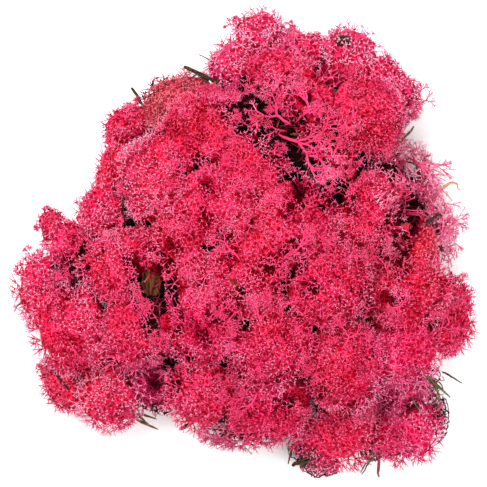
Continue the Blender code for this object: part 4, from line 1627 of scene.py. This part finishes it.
@dataclass(frozen=True)
class LitterFinish:
    """A dead plant surface: its dark and light fibres, and the scale of their noise."""

    name: str
    slot: str
    dark: Colour
    light: Colour
    fibres: float

    def material(self, fibre: bpy.types.NodeTree) -> bpy.types.Material:
        """The material, with its colours put into the shared group."""
        colours = {"Dark": self.dark, "Light": self.light}
        return dressed(self.name, fibre, colours, {"Fibres": self.fibres}, {"Grain": "Vector"}, 0.8, 0.06)


@dataclass(frozen=True)
class CarriedLitter:
    """A stick, needle or flake of the frame, made finer where it lies.

    Attributes:
        node: the frame node that it replaces.
        finish: the name of its finish.
        relief: how high its ridges are.
        length: the wave length of its ridges.
        cuts: how many times each edge is cut.
    """

    node: str
    finish: str
    relief: float
    length: float
    cuts: int = 1

    def build(self, material: bpy.types.Material, slot: str) -> int:
        """A merged copy of the node's mesh, cut finer, with a relief along its normals.

        The relief is noise on the squeezed grain, so that ridges run along the piece.

        Args:
            material: the material of the piece.
            slot: the slot that the material fills; not used.

        Returns:
            How many triangles it has.
        """
        bm = bmesh.new()
        bm.from_mesh(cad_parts[self.node].data)
        bmesh.ops.remove_doubles(bm, verts=bm.verts, dist=1e-6)
        bmesh.ops.subdivide_edges(bm, edges=bm.edges, cuts=self.cuts, use_grid_fill=True)
        axes = {"use_axis_x": True, "use_axis_y": True, "use_axis_z": True}
        bmesh.ops.smooth_vert(bm, verts=bm.verts, factor=0.35, **axes)
        bmesh.ops.recalc_face_normals(bm, faces=bm.faces)
        mesh = bpy.data.meshes.new(self.node + "_fine")
        bm.to_mesh(mesh)
        bm.free()
        points, normals = np.empty(len(mesh.vertices) * 3), np.empty(len(mesh.vertices) * 3)
        mesh.vertices.foreach_get("co", points)
        mesh.vertex_normals.foreach_get("vector", normals)
        points, normals = points.reshape(-1, 3) / MM, normals.reshape(-1, 3)
        grain = grain_of(points)
        noise = Ripple(self.length, SEED + 9).at(grain / MM)
        points = points + normals * (self.relief * np.clip(noise, -1.6, 1.6))[:, None]
        points[:, 2] = np.maximum(points[:, 2], 0.1)
        mesh.vertices.foreach_set("co", (points * MM).ravel())
        mesh.attributes.new("grain", "FLOAT_VECTOR", "POINT").data.foreach_set("vector", grain.ravel())
        mesh.polygons.foreach_set("use_smooth", np.ones(len(mesh.polygons), bool))
        mesh.materials.append(material)
        mesh.update()
        piece = bpy.data.objects.new(self.node + "_fine", mesh)
        bpy.context.scene.collection.objects.link(piece)
        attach(piece, BODY)
        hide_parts(self.node)
        return sum(len(face.vertices) - 2 for face in mesh.polygons)


@dataclass(frozen=True)
class LooseLitter:
    """A small needle, blade or twig that only the visual model has.

    Attributes:
        name: the name of its piece.
        finish: the name of its finish.
        points: its points, with their heights over the moss.
        radii: its radius at the start and at the end.
        sides: how many sides it has.
        rows: how many rings it has.
    """

    name: str
    finish: str
    points: tuple[Place, ...]
    radii: tuple[float, float]
    sides: int = 6
    rows: int = 14

    def build(self, relief: Relief, material: bpy.types.Material, slot: str) -> int:
        """A round rod through the points, thickest at a third of its length, with knotty sides.

        Args:
            relief: the height of the stars, which the piece lies on.
            material: the material of the piece.
            slot: the slot that the material fills; not used.

        Returns:
            How many triangles it has.
        """
        spots = np.array(self.points)
        spots[:, 2] += relief.at(spots)
        spots[:, 2] = np.maximum(spots[:, 2], 1.2)
        run = np.concatenate([[0.0], np.linalg.norm(np.diff(spots, axis=0), axis=1).cumsum()])
        share = np.linspace(0.0, run[-1], self.rows)
        path = np.stack([np.interp(share, run, spots[:, axis]) for axis in range(3)], axis=1)
        for _ in range(2):
            path[1:-1] = (path[:-2] + 2.0 * path[1:-1] + path[2:]) / 4.0
        sway = np.stack([Ripple(3.0, SEED + axis).at(path) for axis in range(3)], axis=1)
        path = path + 0.25 * self.radii[0] * sway
        share = share / run[-1]
        radii = self.radii[0] * (1.0 - share) + self.radii[1] * share
        radii = radii * (0.75 + 0.35 * np.sin(np.pi * share**0.7)) * (1.0 + 0.07 * KNOTS.at(path))
        surface = Surface()
        surface.add_tubes(path[None], radii[None], np.zeros((1, self.rows)), np.zeros(1), self.sides)
        piece = surface.build(self.name, material)
        points = np.concatenate(surface.points)
        layer = piece.data.attributes.new("grain", "FLOAT_VECTOR", "POINT")
        layer.data.foreach_set("vector", grain_of(points).ravel())
        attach(piece, BODY)
        return surface.triangles()


LITTER_FINISHES = (
    LitterFinish("dark_bark", "bark", (0.008, 0.004, 0.002), (0.075, 0.040, 0.020), 2600.0),
    LitterFinish("grey_bark", "bark", (0.03, 0.020, 0.010), (0.19, 0.13, 0.070), 2600.0),
    LitterFinish("flake_bark", "bark", (0.014, 0.004, 0.002), (0.17, 0.050, 0.017), 1700.0),
    LitterFinish("brown_needle", "dry_needle", (0.05, 0.014, 0.002), (0.26, 0.095, 0.014), 2300.0),
    LitterFinish("ochre_blade", "dry_needle", (0.06, 0.02, 0.003), (0.30, 0.13, 0.02), 2300.0),
    LitterFinish("tan_blade", "dry_needle", (0.36, 0.11, 0.06), (0.70, 0.36, 0.24), 2300.0),
    LitterFinish("green_needle", "dry_needle", (0.02, 0.02, 0.008), (0.17, 0.16, 0.08), 2300.0),
    LitterFinish("maroon_stem", "bark", (0.05, 0.006, 0.008), (0.26, 0.05, 0.06), 2300.0),
)

CARRIED = (
    CarriedLitter("stick_back", "dark_bark", 0.10, 1.2),
    CarriedLitter("twig_right", "grey_bark", 0.10, 1.2),
    CarriedLitter("stick_front", "dark_bark", 0.10, 1.2),
    CarriedLitter("stem_left", "dark_bark", 0.08, 1.2),
    CarriedLitter("stem_inner_left", "dark_bark", 0.05, 1.0),
    CarriedLitter("grass_stem", "ochre_blade", 0.05, 1.0),
    CarriedLitter("needles_summit", "brown_needle", 0.04, 0.8),
    CarriedLitter("needles_front_left", "brown_needle", 0.04, 0.8),
    CarriedLitter("needle_front", "brown_needle", 0.04, 0.8),
    CarriedLitter("needles_corner", "green_needle", 0.04, 0.8),
    CarriedLitter("bark_flake", "flake_bark", 0.16, 0.9, 2),
    CarriedLitter("bark_crumb", "dark_bark", 0.22, 1.4, 2),
)

LOOSE = (
    LooseLitter(
        "hooklet_back",
        "dark_bark",
        ((-19.4, 75.2, 1.0), (-16.5, 73.6, 0.8), (-12.5, 71.0, -1.0)),
        (0.22, 0.30),
    ),
    LooseLitter(
        "stub_back_left",
        "dark_bark",
        ((-43.8, 63.2, 0.5), (-41.4, 60.1, 0.2), (-39.5, 56.5, -1.5)),
        (0.55, 0.60),
    ),
    LooseLitter(
        "blade_right",
        "brown_needle",
        ((55.4, 32.4, 0.6), (54.0, 28.6, 0.8), (52.0, 25.6, -0.8)),
        (0.42, 0.62),
    ),
    LooseLitter(
        "twig_right_inner",
        "dark_bark",
        ((61.2, 27.6, 0.4), (61.9, 24.6, 0.2), (62.2, 22.6, -1.0)),
        (0.36, 0.42),
    ),
    LooseLitter(
        "hook_right",
        "tan_blade",
        ((66.6, 25.4, -1.2), (70.0, 27.6, 0.6), (73.7, 29.3, 1.0), (75.6, 26.0, 0.4)),
        (0.62, 0.30),
    ),
    LooseLitter(
        "needle_right",
        "tan_blade",
        ((68.2, 27.0, -0.6), (70.2, 25.2, 0.6), (72.8, 22.3, 0.6)),
        (0.25, 0.25),
    ),
    LooseLitter(
        "twig_right_low",
        "dark_bark",
        ((60.6, 12.4, -0.5), (64.1, 14.9, 0.7), (68.3, 17.7, 0.7), (69.2, 14.0, -0.6)),
        (0.66, 0.36),
    ),
    LooseLitter(
        "needle_corner_inner",
        "green_needle",
        ((56.9, -47.9, 0.8), (59.0, -51.2, 0.8), (61.4, -54.9, 0.3)),
        (0.40, 0.34),
    ),
    LooseLitter(
        "needle_corner_outer",
        "dark_bark",
        ((68.6, -39.6, -0.8), (72.4, -41.5, 0.4), (76.2, -44.0, 0.2)),
        (0.34, 0.26),
    ),
    LooseLitter(
        "stick_south_first",
        "dark_bark",
        ((14.6, -73.6, -0.6), (19.5, -71.6, 0.6), (24.8, -69.2, 0.0)),
        (0.80, 0.60),
    ),
    LooseLitter(
        "stick_south_second",
        "dark_bark",
        ((16.6, -66.6, -0.6), (17.6, -70.0, 0.6), (18.4, -73.8, 0.0)),
        (0.50, 0.60),
    ),
    LooseLitter(
        "stick_south_third",
        "dark_bark",
        ((17.2, -73.0, 0.4), (20.5, -69.0, 1.0), (23.4, -66.0, -0.6)),
        (0.50, 0.40),
    ),
    LooseLitter(
        "needle_south_first",
        "green_needle",
        ((44.6, -68.6, -0.6), (43.0, -71.6, 0.3), (39.7, -76.8, 0.0)),
        (0.44, 0.22),
    ),
    LooseLitter(
        "needle_south_second",
        "green_needle",
        ((43.6, -68.4, -0.6), (42.0, -71.8, 0.3), (39.3, -76.4, 0.3)),
        (0.40, 0.20),
    ),
    LooseLitter(
        "stem_south",
        "maroon_stem",
        ((46.6, -67.0, -1.0), (46.3, -70.6, 0.0), (45.4, -75.4, 0.0), (46.3, -78.3, 0.0)),
        (0.62, 0.50),
    ),
    LooseLitter(
        "needle_front_left_third",
        "green_needle",
        ((-41.2, -55.0, -0.8), (-39.6, -57.0, 0.3), (-37.2, -59.4, 0.0)),
        (0.40, 0.40),
    ),
    LooseLitter(
        "blade_gap_first",
        "ochre_blade",
        ((0.9, 51.3, 1.8), (2.8, 50.5, 2.4), (4.7, 50.2, 1.6)),
        (0.20, 0.14),
        5,
        8,
    ),
    LooseLitter(
        "blade_gap_second",
        "ochre_blade",
        ((4.4, 49.1, 1.6), (5.4, 49.5, 2.2), (6.6, 49.8, 1.6)),
        (0.20, 0.16),
        5,
        8,
    ),
    LooseLitter(
        "blade_gap_third",
        "ochre_blade",
        ((8.7, 47.9, 1.6), (9.2, 49.2, 2.2), (9.8, 50.8, 1.4)),
        (0.22, 0.14),
        5,
        8,
    ),
    LooseLitter(
        "stem_gap",
        "dark_bark",
        ((18.6, 34.6, 0.8), (20.8, 30.6, 0.6), (23.6, 25.8, -0.6)),
        (0.34, 0.26),
    ),
    LooseLitter(
        "speck_right",
        "ochre_blade",
        ((33.9, 29.9, 0.5), (34.6, 29.9, 0.5)),
        (0.45, 0.45),
        6,
        6,
    ),
    LooseLitter(
        "needle_left_tip",
        "green_needle",
        ((-83.2, -14.6, -0.5), (-85.4, -16.4, 0.3), (-85.8, -17.9, 0.2)),
        (0.26, 0.22),
    ),
)


@dataclass(frozen=True)
class SoftLight:
    """A square soft light: its name, its place, its width and its power in watts."""

    name: str
    place: Place
    width: float
    power: float

    def build(self) -> None:
        """Makes the light, turned towards the clump."""
        light = bpy.data.lights.new(self.name, "AREA")
        light.size = self.width * MM
        light.energy = self.power
        holder = bpy.data.objects.new(self.name, light)
        holder.location = Vector(self.place) * MM
        holder.rotation_euler = (-Vector(self.place)).to_track_quat("-Z", "Y").to_euler()
        bpy.context.scene.collection.objects.link(holder)


LIGHTS = (
    SoftLight("key_light", (-260.0, 320.0, 620.0), 420.0, 8.5),
    SoftLight("fill_light", (420.0, -300.0, 520.0), 520.0, 4.0),
)


@dataclass(frozen=True)
class Studio:
    """The pale floor, the soft lights and the camera that looks straight down.

    Attributes:
        centre: the place on the floor that the camera looks at.
        view_width: how wide the view is there.
        focus_height: the height over the floor that the view's width is measured at.
        distance: how far the camera is from that height.
        sensor: the width of the camera's sensor.
        floor_half: half the width of the floor.
        floor_tint: the grey of the floor.
        daylight: the strength of the white light from all round.
    """

    centre: Spot = (-3.06, 6.66)
    view_width: float = 175.3
    focus_height: float = 25.0
    distance: float = 1200.0
    sensor: float = 36.0
    floor_half: float = 3000.0
    floor_tint: float = 0.93
    daylight: float = 0.9

    def build(self) -> None:
        """Makes all of it."""
        bpy.context.scene.view_settings.view_transform = "Standard"
        self.camera()
        self.floor()
        for light in LIGHTS:
            light.build()
        world = bpy.data.worlds.new("world")
        world.use_nodes = True
        background = world.node_tree.nodes["Background"]
        background.inputs["Color"].default_value = (1.0, 1.0, 1.0, 1.0)
        background.inputs["Strength"].default_value = self.daylight
        bpy.context.scene.world = world

    def camera(self) -> None:
        """The camera, with a lens that gives the view its width."""
        camera = bpy.data.cameras.new("camera")
        camera.sensor_width = self.sensor
        camera.lens = self.sensor * self.distance / self.view_width
        camera.clip_end = 10.0
        holder = bpy.data.objects.new("camera", camera)
        holder.location = Vector((*self.centre, self.distance + self.focus_height)) * MM
        bpy.context.scene.collection.objects.link(holder)
        bpy.context.scene.camera = holder

    def floor(self) -> None:
        """A plain pale floor."""
        half = self.floor_half * MM
        corners = [(-half, -half, 0.0), (half, -half, 0.0), (half, half, 0.0), (-half, half, 0.0)]
        mesh = bpy.data.meshes.new("floor")
        mesh.from_pydata(corners, [], [(0, 1, 2, 3)])
        material = bpy.data.materials.new("floor")
        material.use_nodes = True
        shader = material.node_tree.nodes["Principled BSDF"]
        shader.inputs["Base Color"].default_value = (*(self.floor_tint,) * 3, 1.0)
        shader.inputs["Roughness"].default_value = 0.9
        mesh.materials.append(material)
        piece = bpy.data.objects.new("floor", mesh)
        bpy.context.scene.collection.objects.link(piece)


FINISHES = (
    MossFinish(
        "moss_rose",
        (0.070, 0.0, 0.002),
        (0.40, 0.001, 0.010),
        (0.72, 0.042, 0.134),
        (0.77, 0.34, 0.48),
    ),
    MossFinish(
        "moss_crimson",
        (0.07, 0.0, 0.002),
        (0.36, 0.001, 0.010),
        (0.64, 0.030, 0.07),
        (0.81, 0.24, 0.30),
    ),
    MossFinish(
        "moss_mauve",
        (0.07, 0.0, 0.005),
        (0.34, 0.002, 0.030),
        (0.66, 0.070, 0.18),
        (0.83, 0.38, 0.50),
    ),
    MossFinish(
        "moss_faded",
        (0.07, 0.002, 0.004),
        (0.30, 0.008, 0.020),
        (0.60, 0.10, 0.14),
        (0.80, 0.38, 0.42),
    ),
    MossFinish(
        "old_stems",
        (0.004, 0.0005, 0.001),
        (0.040, 0.005, 0.006),
        (0.16, 0.007, 0.018),
        (0.36, 0.04, 0.08),
    ),
)

# Heads that haven't grown as full cushions, and those whose tone or tint differs.
HABITS = {
    "head_back_open": Habit.OPEN,
    "head_back_fan": Habit.OPEN,
    "head_corner_hollow": Habit.OPEN,
    "head_left_hollow": Habit.OPEN,
    "head_right_trail": Habit.LACE,
    "head_south_skirt": Habit.LACE,
    "head_right_fringe": Habit.THREADS,
    "head_right_hollow": Habit.THREADS,
}
# Paleness of each head, mostly its own lighter or darker colour; for the right fringe, hollow and trail it
# is raised partly as painted light against the shade that the taller heads cast there.
PALER = {
    "head_crest": 0.24,
    "head_crest_left": 0.12,
    "head_back_right": 0.18,
    "head_back_notch": 0.10,
    "head_back_shoulder": 0.06,
    "head_back_open": -0.06,
    "head_back_fan": -0.06,
    "head_left_tip": 0.08,
    "head_left_front": 0.10,
    "head_left_front_dome": 0.04,
    "head_left_shoulder": 0.08,
    "head_left_back": 0.05,
    "head_middle_left": 0.04,
    "head_corner": 0.06,
    "head_right_fringe": 0.08,
    "head_right_hollow": 0.08,
    "head_right_trail": 0.06,
}
USUAL_PALENESS = -0.03
PINKER = (
    "head_crest",
    "head_crest_left",
    "head_back_right",
    "head_back_notch",
    "head_back_shoulder",
    "head_corner",
    "head_corner_hollow",
    "head_east_slope",
)
PINKER_TINT = -0.6
USUAL_TINT = 0.2
TINT_SPREAD = 0.2


def planned_heads(nodes: list[str]) -> list[MossHead]:
    """The heads in the order of their nodes, each with its habit, tint and paleness.

    Args:
        nodes: the names of the heads' nodes.

    Returns:
        The heads.
    """
    tints = np.random.default_rng(SEED).uniform(-TINT_SPREAD, TINT_SPREAD, len(nodes))
    tints += np.where(np.isin(nodes, PINKER), PINKER_TINT, USUAL_TINT)
    heads = []
    for number, name in enumerate(nodes):
        paler = PALER.get(name, USUAL_PALENESS)
        heads.append(MossHead(name, HABITS.get(name, Habit.DENSE), number, tints[number], paler))
    return heads


def main() -> None:
    """Builds every piece round the frame and reports each."""
    logging.basicConfig(level=logging.INFO, format="%(message)s")
    slots = {name: node.material_slots[0].material.name for name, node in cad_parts.items()}
    dye_and_shade = LichenDyeAndShade().build()
    finishes = {finish.slot: finish.material(dye_and_shade) for finish in FINISHES}
    nodes = sorted(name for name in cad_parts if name.startswith("head_"))
    forms = {name: Envelope.of_node(name, INSET + LESS_REACH.get(name, 0.0)) for name in nodes}
    canopy = Canopy(forms, Envelope.of_node(MAT_NODE))
    heads = planned_heads(nodes)
    fronds = {name: [frond for frond in FRONDS if frond.head == name] for name in nodes}
    stars = {head.node: head.stars(canopy, fronds[head.node]) for head in heads}
    relief = Relief.of_stars(np.concatenate(list(stars.values())))
    made = {MAT_NODE: OldMat(MAT_NODE).build(canopy.ground, finishes["old_stems"], slots[MAT_NODE])}
    for head in heads:
        name, slot = head.node, slots[head.node]
        made[name] = head.build(canopy, stars[name], relief, fronds[name], finishes[slot], slot)
    fibre = PlantFibre().build()
    litter = {finish.name: (finish.material(fibre), finish.slot) for finish in LITTER_FINISHES}
    for carried in CARRIED:
        made[carried.node] = carried.build(litter[carried.finish][0], slots[carried.node])
    for loose in LOOSE:
        made[loose.name] = loose.build(relief, *litter[loose.finish])
    for name, triangles in made.items():
        log.info("%s: %d triangles", name, triangles)
    log.info("in all: %d triangles", sum(made.values()))
    Studio().build()


if __name__ == "__main__":
    main()
